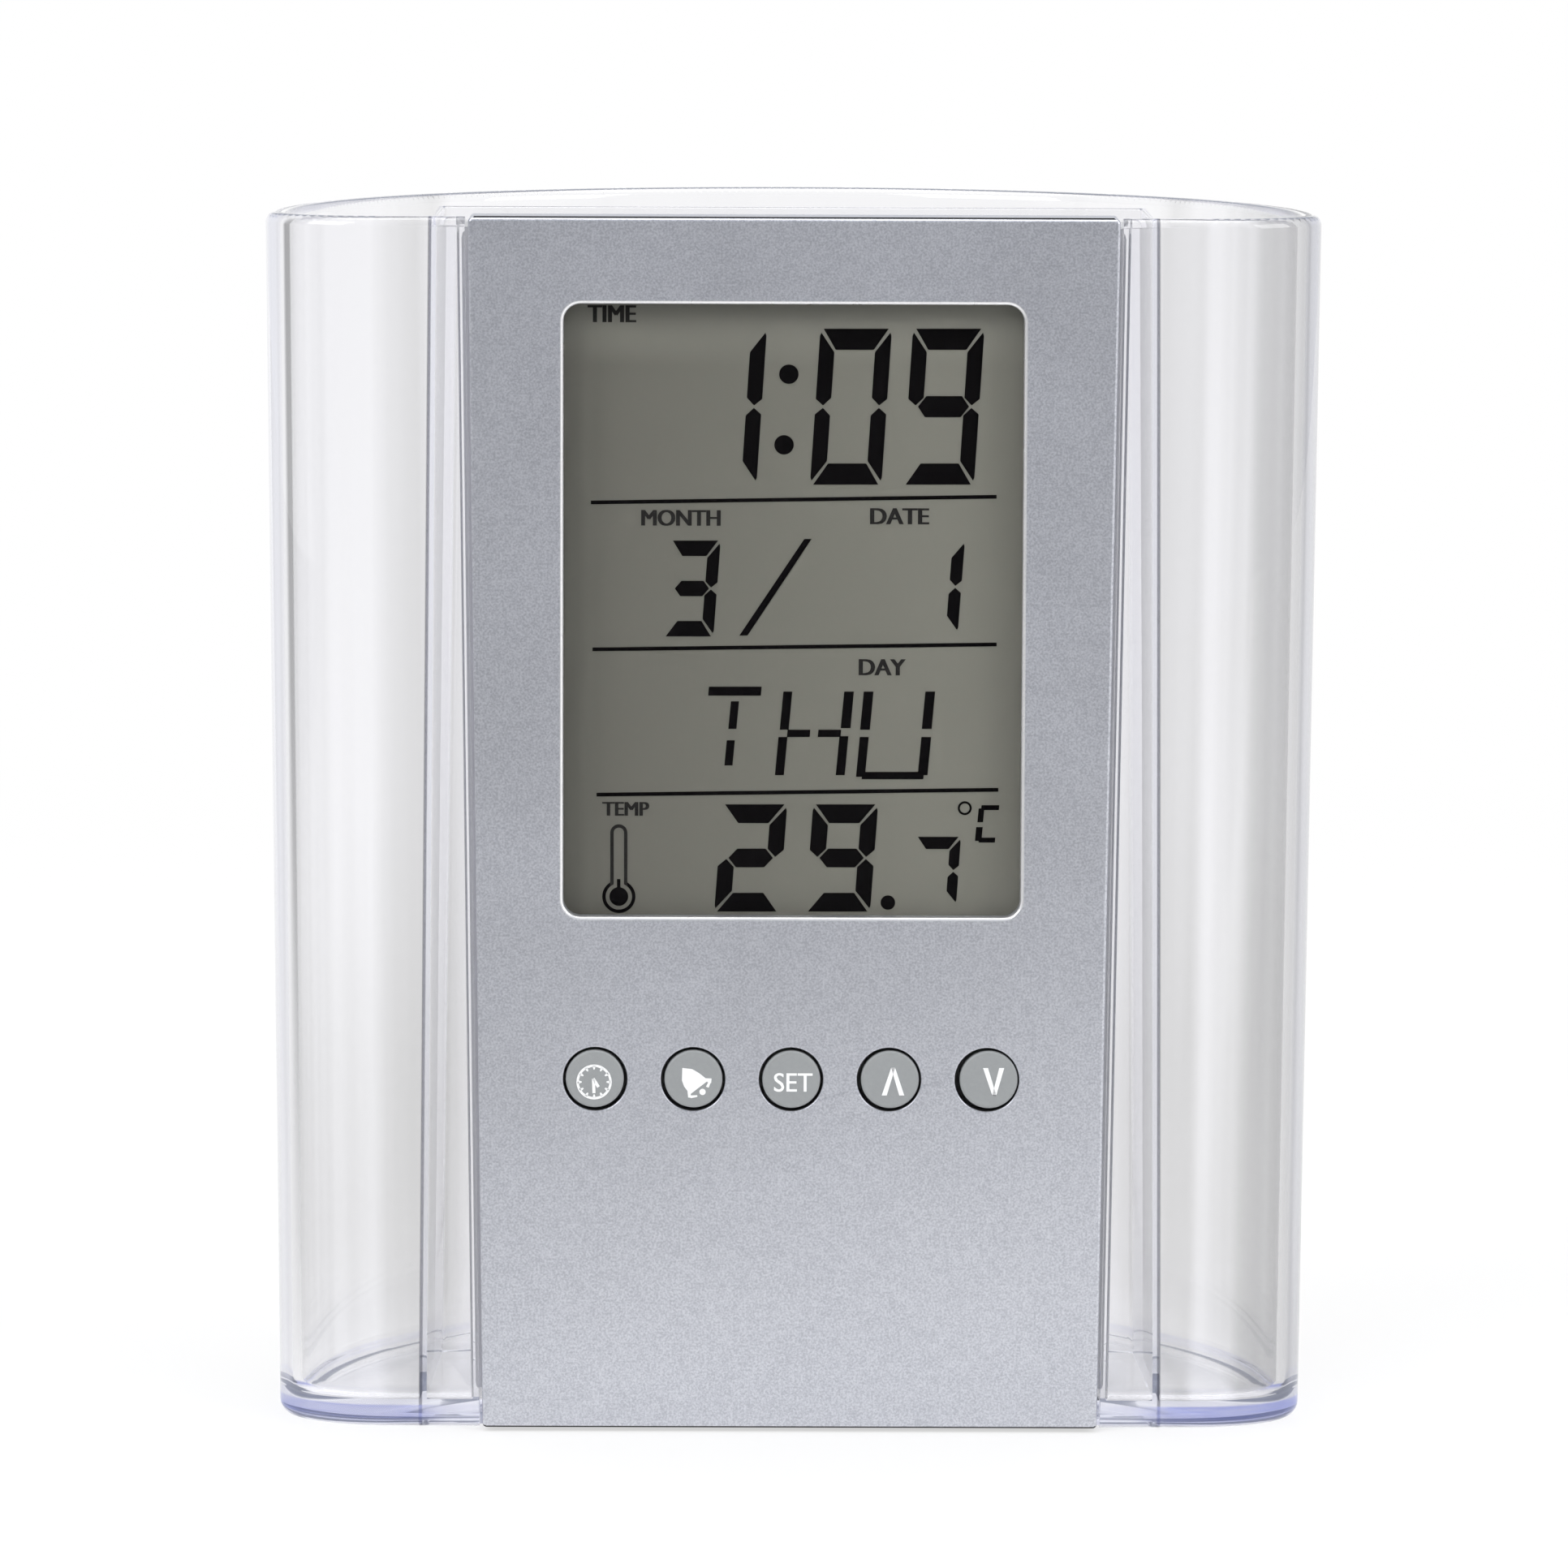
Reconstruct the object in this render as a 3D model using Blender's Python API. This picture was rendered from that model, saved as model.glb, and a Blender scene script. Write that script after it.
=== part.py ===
"""Pen holder clock: a clear D-shaped pen cup with a silver clock module slid into its front.

Lengths are in metres. +Z is up and -Y is the front. The origin is the middle of the base.
"""

import bmesh
import bpy
from math import cos, pi, radians, sin
from mathutils import Matrix, Vector

MM = 0.001

# Fits that every piece shares
GAP = 0.3 * MM
OVERRUN = 1.0 * MM
MERGE = 0.3 * MM

# Clear cup
CUP_WALL = 2.2 * MM
CUP_FLOOR = 2.2 * MM
CUP_CORNER_WIDTH = 10.0 * MM
CUP_CORNER_DEPTH = 7.0 * MM
CUP_BACK_DEPTH = 41.0 * MM
CUP_SIDE_DRAFT = 0.9 * MM
CUP_BACK_DRAFT = 0.9 * MM
CUP_RIM_RADIUS = 0.5 * MM
CUP_BASE_RADIUS = 1.4 * MM
CUP_FLOOR_FILLET = 2.6 * MM
LOBE_WIDTH = 12.2 * MM
PARTITION_WALL = 1.2 * MM
PARTITION_LEAN = 1.0 * MM
PARTITION_DROP = 0.5 * MM
SLOT_LIP = 1.95 * MM
RAIL_WALL = 0.8 * MM
POCKET_DEPTH = 21.5 * MM

# Silver front of the module
PANEL_PROUD = 1.0 * MM
PANEL_WALL = 1.4 * MM
PANEL_DEPTH = 6.2 * MM
PANEL_TAPER = 1.2 * MM
PANEL_CORNER = 0.6 * MM
PANEL_EDGE = 0.35 * MM
PANEL_MARGIN = 8.25 * MM
PANEL_TOP_MARGIN = 7.4 * MM
WINDOW_WIDTH = 39.8 * MM
WINDOW_HEIGHT = 53.4 * MM
WINDOW_CORNER = 1.5 * MM
WINDOW_EDGE = 0.3 * MM
BUTTON_TO_WINDOW = 14.3 * MM

# Buttons and the keypad behind them
BUTTON_COUNT = 5
BUTTON_DIAMETER = 5.2 * MM
BUTTON_SPACING = 3.35 * MM
BUTTON_PROUD = 0.2 * MM
BUTTON_EDGE = 0.2 * MM
BUTTON_TRAVEL = 0.8 * MM
BUTTON_PLAY = 0.2 * MM
FLANGE_REACH = 0.8 * MM
FLANGE_THICKNESS = 0.7 * MM
STEM_DIAMETER = 3.2 * MM
KEYPAD_HALF_HEIGHT = 3.6 * MM
KEYPAD_THICKNESS = 0.9 * MM
DOME_HEIGHT = 2.1 * MM
DOME_FOOT_DIAMETER = 4.6 * MM
DOME_TOP_DIAMETER = 2.6 * MM

# Display stack
COVER_THICKNESS = 0.8 * MM
COVER_LAP = 1.6 * MM
POLARISER_THICKNESS = 0.3 * MM
CELL_GLASS = 1.8 * MM
GLASS_SIDE_LAP = 2.1 * MM
GLASS_END_LAP = 2.6 * MM
FRAME_THICKNESS = 2.1 * MM
STRIP_HEIGHT = 1.8 * MM
STRIP_EDGE = 0.6 * MM
STRIP_INSET = 1.6 * MM

# Circuit board and what it carries
BOARD_THICKNESS = 1.2 * MM
BOARD_NARROW_HALF = 22.6 * MM
BOARD_SHOULDER = 5.8 * MM
BOARD_TOP_SHOULDER = 3.5 * MM
POST_RADIUS = 1.5 * MM
POST_LOW_RISE = 7.6 * MM
POST_HIGH_DROP = 8.0 * MM
BOARD_SCREW_SHANK = 0.7 * MM
BOARD_SCREW_HEAD = 1.5 * MM
BOARD_SCREW_HEAD_HEIGHT = 0.9 * MM
BOARD_SCREW_LENGTH = 4.0 * MM
CHIP_RADIUS = 6.0 * MM
CHIP_HEIGHT = 1.8 * MM
CHIP_RISE = 44.0 * MM
CRYSTAL_RADIUS = 1.0 * MM
CRYSTAL_LENGTH = 6.0 * MM
CRYSTAL_OFFSET = 12.0 * MM
CAPACITOR_RADIUS = 2.0 * MM
CAPACITOR_LENGTH = 5.0 * MM
CAPACITOR_OFFSET = 14.0 * MM
CAPACITOR_RISE = 17.0 * MM
SENSOR_RADIUS = 1.2 * MM
SENSOR_LENGTH = 2.6 * MM
SENSOR_OFFSET = 18.0 * MM
SENSOR_RISE = 4.0 * MM

# Rear shell
SHELL_WALL = 1.5 * MM
SHELL_DEPTH = 13.5 * MM
SHELL_TOP_DROP = 1.1 * MM
SHELL_FLANGE = 0.9 * MM
SHELL_CORNER = 1.0 * MM
SHELL_EDGE = 0.4 * MM
BAY_ROOF = 1.5 * MM
BAY_SIDE = 2.25 * MM

# Case screws
CASE_SHANK = 1.0 * MM
CASE_HEAD = 1.8 * MM
CASE_HEAD_HEIGHT = 1.3 * MM
CASE_SCREW_LENGTH = 10.0 * MM
CASE_SCREW_SINK = 5.5 * MM
CASE_BOSS_WALL = 0.8 * MM
CASE_HIGH_DROP = 3.5 * MM
CASE_LOW_RISE = 5.3 * MM
SLOT_WIDTH = 0.6 * MM
SLOT_DEPTH = 0.5 * MM

# Battery door
DOOR_THICKNESS = 1.2 * MM
DOOR_LEDGE = 1.2 * MM
DOOR_TONGUE = 0.5 * MM
DOOR_TONGUE_THICKNESS = 0.5 * MM
DOOR_TRAVEL = 4.0 * MM
DOOR_RIDGE_COUNT = 5
DOOR_RIDGE_LENGTH = 14.0 * MM
DOOR_RIDGE_HEIGHT = 0.4 * MM
DOOR_RIDGE_WIDTH = 0.7 * MM
DOOR_RIDGE_PITCH = 1.6 * MM

# Cells and their contacts
CELL_DIAMETER = 10.5 * MM
CELL_LENGTH = 44.5 * MM
CELL_NUB_RADIUS = 1.9 * MM
CELL_NUB_LENGTH = 1.0 * MM
CELL_EDGE = 0.4 * MM
SPRING_LENGTH = 2.4 * MM
SPRING_WIRE = 0.3 * MM
SPRING_BIG_RADIUS = 2.8 * MM
SPRING_SMALL_RADIUS = 1.8 * MM
SPRING_TURNS = 2.25
CONTACT_THICKNESS = 0.5 * MM
CONTACT_HALF_HEIGHT = 4.0 * MM
CONTACT_HALF_DEPTH = 3.2 * MM
TAIL_WIDTH = 1.0 * MM
TAIL_RISE = 1.4 * MM

# Alarm buzzer
BUZZER_RADIUS = 9.0 * MM
BUZZER_PLATE = 0.5 * MM
BUZZER_CERAMIC_RADIUS = 6.0 * MM
BUZZER_CERAMIC = 0.4 * MM
BUZZER_SEAT_WALL = 1.0 * MM
BUZZER_SEAT_HEIGHT = 1.6 * MM
BUZZER_RISE = 32.0 * MM
SOUND_HOLE_RADIUS = 0.8 * MM
SOUND_HOLE_CIRCLE = 4.0 * MM
SOUND_HOLE_COUNT = 6
LEAD_RADIUS = 0.5 * MM
LEAD_BEND = 1.2 * MM
LEAD_LOW_RISE = 4.0 * MM
LEAD_HIGH_RISE = 8.0 * MM

# How finely round shapes are divided
CORNER_STEPS = 8
BACK_STEPS = 48
FILLET_STEPS = 4
ROUND_STEPS = 32
SMALL_ROUND_STEPS = 16
SPRING_STEPS = 12
LEAD_STEPS = 10
SMOOTH_ANGLE = radians(35)

# Levels of the module, from the floor of the cup up
SHELL_BOTTOM = CUP_FLOOR + GAP
BAY_BOTTOM = SHELL_BOTTOM + SHELL_WALL
LOWER_CELL_Z = BAY_BOTTOM + GAP + CELL_DIAMETER / 2
UPPER_CELL_Z = LOWER_CELL_Z + CELL_DIAMETER + GAP
BAY_TOP = UPPER_CELL_Z + CELL_DIAMETER / 2 + GAP
ELECTRONICS_BOTTOM = BAY_TOP + BAY_ROOF
TAIL_TOP = ELECTRONICS_BOTTOM + TAIL_RISE
BOARD_BOTTOM = ELECTRONICS_BOTTOM + GAP
BUTTON_Z = BOARD_BOTTOM + KEYPAD_HALF_HEIGHT
BUZZER_Z = BUTTON_Z + BUZZER_RISE
WINDOW_BOTTOM = BUTTON_Z + BUTTON_TO_WINDOW
WINDOW_TOP = WINDOW_BOTTOM + WINDOW_HEIGHT
CUP_HEIGHT = WINDOW_TOP + PANEL_TOP_MARGIN
GLASS_BOTTOM = WINDOW_BOTTOM - GLASS_END_LAP
GLASS_TOP = WINDOW_TOP + GLASS_END_LAP
SHELL_TOP = CUP_HEIGHT - SHELL_TOP_DROP
PARTITION_TOP = CUP_HEIGHT - PARTITION_DROP

# Widths, from the middle outwards
BAY_LENGTH = CELL_LENGTH + 2 * CONTACT_THICKNESS + 5 * GAP + SPRING_LENGTH
BAY_HALF = BAY_LENGTH / 2
GLASS_HALF = WINDOW_WIDTH / 2 + GLASS_SIDE_LAP
PANEL_HALF_TOP = max(WINDOW_WIDTH / 2 + PANEL_MARGIN, BAY_HALF + BAY_SIDE + PANEL_TAPER)
SLOT_HALF_TOP = PANEL_HALF_TOP + GAP
POCKET_HALF_TOP = SLOT_HALF_TOP + SLOT_LIP
PARTITION_HALF_TOP = POCKET_HALF_TOP + PARTITION_WALL
CUP_HALF_TOP = PARTITION_HALF_TOP + LOBE_WIDTH + CUP_WALL
BUTTON_PITCH = BUTTON_DIAMETER + BUTTON_SPACING

# Depths, from the button caps at the front to the back of the cup
TOTAL_DEPTH = BUTTON_PROUD + PANEL_PROUD + CUP_CORNER_DEPTH + CUP_BACK_DEPTH
BUTTON_FRONT = -TOTAL_DEPTH / 2
PANEL_FRONT = BUTTON_FRONT + BUTTON_PROUD
CUP_FRONT = PANEL_FRONT + PANEL_PROUD
CUP_WIDEST = CUP_FRONT + CUP_CORNER_DEPTH
WALL_BACK = CUP_FRONT + CUP_WALL
PANEL_INSIDE = PANEL_FRONT + PANEL_WALL
PANEL_BACK = PANEL_FRONT + PANEL_DEPTH
COVER_FRONT = PANEL_INSIDE + GAP
POLARISER_FRONT = COVER_FRONT + COVER_THICKNESS + GAP
GLASS_FRONT = POLARISER_FRONT + POLARISER_THICKNESS + GAP
GLASS_BACK = GLASS_FRONT + CELL_GLASS
REFLECTOR_FRONT = GLASS_BACK + GAP
FRAME_FRONT = REFLECTOR_FRONT + POLARISER_THICKNESS + GAP
FRAME_BACK = FRAME_FRONT + FRAME_THICKNESS
BOARD_FRONT = FRAME_BACK + 2 * GAP
BOARD_BACK = BOARD_FRONT + BOARD_THICKNESS
KEYPAD_BACK = BOARD_FRONT - GAP
KEYPAD_FRONT = KEYPAD_BACK - KEYPAD_THICKNESS
DOME_FRONT = KEYPAD_FRONT - DOME_HEIGHT
SHELL_FRONT = PANEL_BACK + GAP
SHELL_BACK = SHELL_FRONT + SHELL_DEPTH
SHELL_INSIDE = SHELL_BACK - SHELL_WALL
CELL_Y = SHELL_INSIDE - GAP - CELL_DIAMETER / 2
BAY_FRONT = CELL_Y - CELL_DIAMETER / 2 - GAP
POCKET_BACK = WALL_BACK + POCKET_DEPTH
PARTITION_BACK = POCKET_BACK + PARTITION_WALL
RAIL_BACK = PANEL_BACK

# The board's wide middle, its posts and the case screws
BOARD_WIDE_LOW = BOARD_BOTTOM + BOARD_SHOULDER + 2 * POST_RADIUS
BOARD_TOP = GLASS_TOP
BOARD_WIDE_HIGH = BOARD_TOP - BOARD_TOP_SHOULDER
POST_X = GLASS_HALF + GAP + POST_RADIUS
BOARD_WIDE_HALF = POST_X + POST_RADIUS
POST_LOW_Z = BUTTON_Z + POST_LOW_RISE
POST_HIGH_Z = GLASS_TOP - POST_HIGH_DROP
CASE_BOSS_RADIUS = CASE_SHANK + GAP + CASE_BOSS_WALL
CASE_SINK_RADIUS = CASE_HEAD + GAP
CASE_COLLAR_RADIUS = CASE_SINK_RADIUS + CASE_BOSS_WALL
CASE_HIGH_Z = SHELL_TOP - CASE_HIGH_DROP
CASE_LOW_Z = BOARD_BOTTOM + CASE_LOW_RISE

# The door, its recess in the rear shell and the tongues that it slides on
RECESS_HALF = BAY_HALF + DOOR_LEDGE
RECESS_TOP = BAY_TOP + BAY_ROOF / 2
RECESS_FRONT = SHELL_BACK - DOOR_THICKNESS - GAP
DOOR_HALF = RECESS_HALF - GAP
DOOR_TOP = RECESS_TOP - GAP
DOOR_BOTTOM = SHELL_BOTTOM + DOOR_TRAVEL + GAP
GROOVE_HALF = RECESS_HALF + DOOR_TONGUE
GROOVE_DEPTH = DOOR_TONGUE_THICKNESS + GAP

# Turns that lay a shape made along Z along another axis
ALONG_X = Matrix.Rotation(pi / 2, 4, "Y")
ALONG_Y = Matrix.Rotation(-pi / 2, 4, "X")
ALONG_Z = Matrix.Identity(4)


def remove_start_objects():
    """Empty the scene, so that only the model is in it."""
    for thing in list(bpy.data.objects):
        bpy.data.objects.remove(thing, do_unlink=True)


def finish(name, colour, roughness, metallic=0.0, alpha=1.0):
    """Make one piece's own material."""
    material = bpy.data.materials.new(name)
    material.use_nodes = True
    shader = material.node_tree.nodes["Principled BSDF"]
    shader.inputs["Base Color"].default_value = (*colour, 1.0)
    shader.inputs["Roughness"].default_value = roughness
    shader.inputs["Metallic"].default_value = metallic
    shader.inputs["Alpha"].default_value = alpha
    return material


def silver_paint(name):
    """Silver paint on moulded plastic."""
    return finish(name, (0.62, 0.63, 0.66), 0.35, 0.6)


def grey_plastic(name):
    """Grey moulded plastic."""
    return finish(name, (0.45, 0.46, 0.48), 0.45)


def white_plastic(name):
    """White moulded plastic."""
    return finish(name, (0.8, 0.8, 0.78), 0.5)


def black_plastic(name):
    """Black moulded plastic or epoxy."""
    return finish(name, (0.03, 0.03, 0.03), 0.4)


def clear_plastic(name):
    """Clear polystyrene."""
    return finish(name, (0.9, 0.9, 0.94), 0.05, 0.0, 0.35)


def plated_steel(name):
    """Nickel-plated steel."""
    return finish(name, (0.7, 0.7, 0.7), 0.25, 1.0)


def wire_cover(name, colour):
    """Soft wire insulation."""
    return finish(name, colour, 0.5)


def new_object(name, shape, material=None, parent=None):
    """Turn a bmesh into a named object in the scene."""
    bmesh.ops.recalc_face_normals(shape, faces=shape.faces)
    mesh = bpy.data.meshes.new(name)
    shape.to_mesh(mesh)
    shape.free()
    thing = bpy.data.objects.new(name, mesh)
    bpy.context.scene.collection.objects.link(thing)
    if material:
        mesh.materials.append(material)
    thing.parent = parent
    return thing


def ring_solid(name, rings, material=None, parent=None):
    """Skin a stack of equal closed rings and cap both ends."""
    shape = bmesh.new()
    loops = [[shape.verts.new(point) for point in ring] for ring in rings]
    count = len(rings[0])
    for low, high in zip(loops, loops[1:]):
        for i in range(count):
            j = (i + 1) % count
            shape.faces.new((low[i], low[j], high[j], high[i]))
    shape.faces.new(loops[0])
    shape.faces.new(loops[-1])
    return new_object(name, shape, material, parent)


def shade_round(thing):
    """Shade a round piece smooth, with its real edges kept sharp."""
    thing.data.shade_smooth()
    thing.data.set_sharp_from_angle(angle=SMOOTH_ANGLE)
    return thing


def block(name, low, high, material=None, parent=None):
    """Make a box between two corners, with its origin in its middle."""
    low, high = Vector(low), Vector(high)
    shape = bmesh.new()
    bmesh.ops.create_cube(shape, size=1)
    bmesh.ops.scale(shape, vec=high - low, verts=shape.verts)
    thing = new_object(name, shape, material, parent)
    thing.location = (low + high) / 2
    return thing


def turned(name, place, turn, profile, material=None, parent=None, steps=ROUND_STEPS):
    """Turn a profile of (distance along the axis, radius) pairs, at a place and direction."""
    rings = []
    for along, radius in profile:
        angles = [2 * pi * i / steps for i in range(steps)]
        rings.append([Vector((radius * cos(a), radius * sin(a), along)) for a in angles])
    thing = shade_round(ring_solid(name, rings, material, parent))
    thing.matrix_world = Matrix.Translation(Vector(place)) @ turn
    return thing


def gather(name, tools):
    """Join separate tools that don't meet into one."""
    shape = bmesh.new()
    parent = tools[0].parent
    bpy.context.view_layer.update()
    for tool in tools:
        copy = tool.data.copy()
        copy.transform(tool.matrix_world)
        shape.from_mesh(copy)
        bpy.data.meshes.remove(copy)
        bpy.data.objects.remove(tool, do_unlink=True)
    return new_object(name, shape, None, parent)


def combine(body, operation, *tools):
    """Cut, add or keep tools with a Boolean each, and hide the tools."""
    for tool in tools:
        modifier = body.modifiers.new(tool.name, "BOOLEAN")
        modifier.operation = operation
        modifier.solver = "EXACT"
        modifier.object = tool
        tool.hide_render = True
        tool.display_type = "WIRE"
        tool.parent = body.parent


def smooth_path(points, steps):
    """Read evenly spaced points from a smooth curve through the route's own points."""
    route = [points[0]] + list(points) + [points[-1]]
    path = []
    for a, b, c, d in zip(route, route[1:], route[2:], route[3:]):
        for i in range(steps):
            t = i / steps
            ahead = (c - a) * t + (2 * a - 5 * b + 4 * c - d) * t ** 2
            path.append(b + (ahead + (3 * b - a - 3 * c + d) * t ** 3) / 2)
    return path + [points[-1]]


def tube(name, path, radius, material, parent, resolution=1):
    """Make a round tube along a path, with closed ends."""
    curve = bpy.data.curves.new(name, "CURVE")
    curve.dimensions = "3D"
    curve.bevel_depth = radius
    curve.bevel_resolution = resolution
    curve.use_fill_caps = True
    curve.materials.append(material)
    spline = curve.splines.new("POLY")
    spline.points.add(len(path) - 1)
    for point, place in zip(spline.points, path):
        point.co = (*place, 1)
    thing = bpy.data.objects.new(name, curve)
    bpy.context.scene.collection.objects.link(thing)
    thing.parent = parent
    return thing


def cup_half(z):
    """Half of the cup's width at a height."""
    return CUP_HALF_TOP - CUP_SIDE_DRAFT * (1 - z / CUP_HEIGHT)


def cup_back_reach(z):
    """How far the cup's back stands behind its widest line at a height."""
    return CUP_BACK_DEPTH - CUP_BACK_DRAFT * (1 - z / CUP_HEIGHT)


def panel_half(z):
    """Half of the tapered panel's width at a height."""
    return PANEL_HALF_TOP - PANEL_TAPER * (1 - z / CUP_HEIGHT)


def slot_half(z):
    """Half of the slot's width at a height."""
    return panel_half(z) + GAP


def rail_half(z):
    """Distance from the middle to the outside of a guide rail at a height."""
    return slot_half(z) + RAIL_WALL


def pocket_half(z):
    """Half of the width between the leaning partitions at a height."""
    return POCKET_HALF_TOP + PARTITION_LEAN * (1 - z / CUP_HEIGHT)


def partition_half(z):
    """Distance from the middle to the outside of a partition at a height."""
    return pocket_half(z) + PARTITION_WALL


def cup_ring(z, inset):
    """Outline of the D-shaped cup at a height, drawn in by an inset."""
    half, reach = cup_half(z), cup_back_reach(z)
    right = []
    for i in range(CORNER_STEPS + 1):
        angle = -pi / 2 + pi / 2 * i / CORNER_STEPS
        x = half - CUP_CORNER_WIDTH + (CUP_CORNER_WIDTH - inset) * cos(angle)
        y = CUP_WIDEST + (CUP_CORNER_DEPTH - inset) * sin(angle)
        right.append(Vector((x, y, z)))
    back = []
    for i in range(1, BACK_STEPS):
        angle = pi * i / BACK_STEPS
        x = (half - inset) * cos(angle)
        y = CUP_WIDEST + (reach - inset) * sin(angle)
        back.append(Vector((x, y, z)))
    left = [Vector((-point.x, point.y, z)) for point in reversed(right)]
    return right + back + left


def fillet_rows(radius):
    """Heights above a fillet's foot, and the inset of each, from the foot up."""
    angles = [pi / 2 * i / FILLET_STEPS for i in range(FILLET_STEPS + 1)]
    return [(radius * (1 - cos(a)), radius * (1 - sin(a))) for a in angles]


def panel_ring(y, inset, low, high, corner, widen=0.0):
    """Outline of the tapered panel in a plane of constant y, with rounded corners."""
    corner = corner - min(inset, corner / 2)
    low, high = low + inset, high - inset
    ring = []
    for side, level, start in ((1, high, 0), (-1, high, 90), (-1, low, 180), (1, low, 270)):
        z = level - corner if level == high else level + corner
        x = side * (panel_half(z) + widen - inset - corner)
        for i in range(FILLET_STEPS + 1):
            angle = radians(start) + pi / 2 * i / FILLET_STEPS
            ring.append(Vector((x + corner * cos(angle), y, z + corner * sin(angle))))
    return ring


def tapered_block(name, front, back, low, high, half):
    """Make a sharp-cornered prism whose half width at each height comes from a function."""
    corners = ((1, low), (1, high), (-1, high), (-1, low))
    rings = [[Vector((side * half(z), y, z)) for side, z in corners] for y in (front, back)]
    return ring_solid(name, rings)


def cup_body():
    """Outer form of the cup, rounded at its base and its rim."""
    base = [cup_ring(rise, inset) for rise, inset in fillet_rows(CUP_BASE_RADIUS)]
    rim = [cup_ring(CUP_HEIGHT - rise, inset) for rise, inset in fillet_rows(CUP_RIM_RADIUS)]
    cup = ring_solid("pen_holder", base + rim[::-1], clear_plastic("pen_holder"))
    return shade_round(cup)


def pen_space_tool():
    """The hollow for pens: the cup's inside without the block round the clock."""
    rows = fillet_rows(CUP_FLOOR_FILLET)
    rings = [cup_ring(CUP_FLOOR + rise, CUP_WALL + inset) for rise, inset in rows]
    lead_in = fillet_rows(CUP_RIM_RADIUS)
    rings += [
        cup_ring(CUP_HEIGHT - rise, CUP_WALL - inset) for rise, inset in reversed(lead_in)
    ]
    rings.append([point + Vector((0, 0, OVERRUN)) for point in rings[-1]])
    hollow = shade_round(ring_solid("pen_space", rings))
    top = CUP_HEIGHT + 2 * OVERRUN
    clock_block = tapered_block("clock_block", CUP_FRONT - OVERRUN, PARTITION_BACK, -OVERRUN, top,
                                partition_half)
    combine(hollow, "DIFFERENCE", clock_block)
    return hollow


def clock_pocket_tool():
    """The hollow that takes the clock module, without the guide rails along the slot."""
    top = CUP_HEIGHT + OVERRUN
    hollow = tapered_block("clock_pocket", WALL_BACK, POCKET_BACK, CUP_FLOOR, top, pocket_half)
    front, back = WALL_BACK - OVERRUN, RAIL_BACK
    rails = tapered_block("rails", front, back, -OVERRUN, PARTITION_TOP, rail_half)
    combine(hollow, "DIFFERENCE", rails)
    return hollow


def pen_holder():
    """The clear moulded cup with its slot, rails, partitions and pen space."""
    cup = cup_body()
    front, back = CUP_FRONT - OVERRUN, RAIL_BACK + OVERRUN
    slot = tapered_block("slot", front, back, CUP_FLOOR, CUP_HEIGHT + OVERRUN, slot_half)
    lip = tapered_block("floor_lip", front, WALL_BACK, -OVERRUN, CUP_FLOOR + OVERRUN, slot_half)
    headroom = block(
        "headroom",
        (-PARTITION_HALF_TOP - OVERRUN, WALL_BACK, PARTITION_TOP),
        (PARTITION_HALF_TOP + OVERRUN, PARTITION_BACK + OVERRUN, CUP_HEIGHT + 2 * OVERRUN),
    )
    combine(cup, "DIFFERENCE", pen_space_tool(), clock_pocket_tool(), slot, lip, headroom)
    return cup


def shell_inner_half(z):
    """Half of the width inside the rear shell at a height."""
    return panel_half(z) + SHELL_FLANGE - SHELL_WALL


def case_screw_places():
    """Middle of each case screw, as x and z."""
    places = []
    for z in (CASE_LOW_Z, CASE_HIGH_Z):
        x = shell_inner_half(z) - CASE_BOSS_RADIUS + MERGE
        places += [(-x, z), (x, z)]
    return places


def board_screw_places():
    """Middle of each board screw, as x and z."""
    return [(side * POST_X, z) for z in (POST_LOW_Z, POST_HIGH_Z) for side in (-1, 1)]


def button_places():
    """Middle of each button, from the left."""
    middle = (BUTTON_COUNT - 1) / 2
    return [(i - middle) * BUTTON_PITCH for i in range(BUTTON_COUNT)]


def rods(name, places, front, back, radius, steps=SMALL_ROUND_STEPS):
    """Round rods along Y at several places, as one tool."""
    made = [
        turned(f"{name}_{i}", (x, front, z), ALONG_Y, ((0, radius), (back - front, radius)),
               steps=steps)
        for i, (x, z) in enumerate(places)
    ]
    return gather(name, made)


def window_tool():
    """Rounded window opening with a narrow bevel round its front."""
    half = WINDOW_WIDTH / 2
    rings = []
    rows = ((-OVERRUN, WINDOW_EDGE), (0, WINDOW_EDGE), (WINDOW_EDGE, 0), (PANEL_WALL + OVERRUN, 0))
    for depth, widen in rows:
        ring = []
        for side_x, side_z, start in ((1, 1, 0), (-1, 1, 90), (-1, -1, 180), (1, -1, 270)):
            x = side_x * (half - WINDOW_CORNER)
            z = WINDOW_BOTTOM + WINDOW_HEIGHT / 2 + side_z * (WINDOW_HEIGHT / 2 - WINDOW_CORNER)
            for i in range(FILLET_STEPS + 1):
                angle = radians(start) + pi / 2 * i / FILLET_STEPS
                reach = WINDOW_CORNER + widen
                spot = (x + reach * cos(angle), PANEL_FRONT + depth, z + reach * sin(angle))
                ring.append(Vector(spot))
        rings.append(ring)
    return ring_solid("window", rings)


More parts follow.
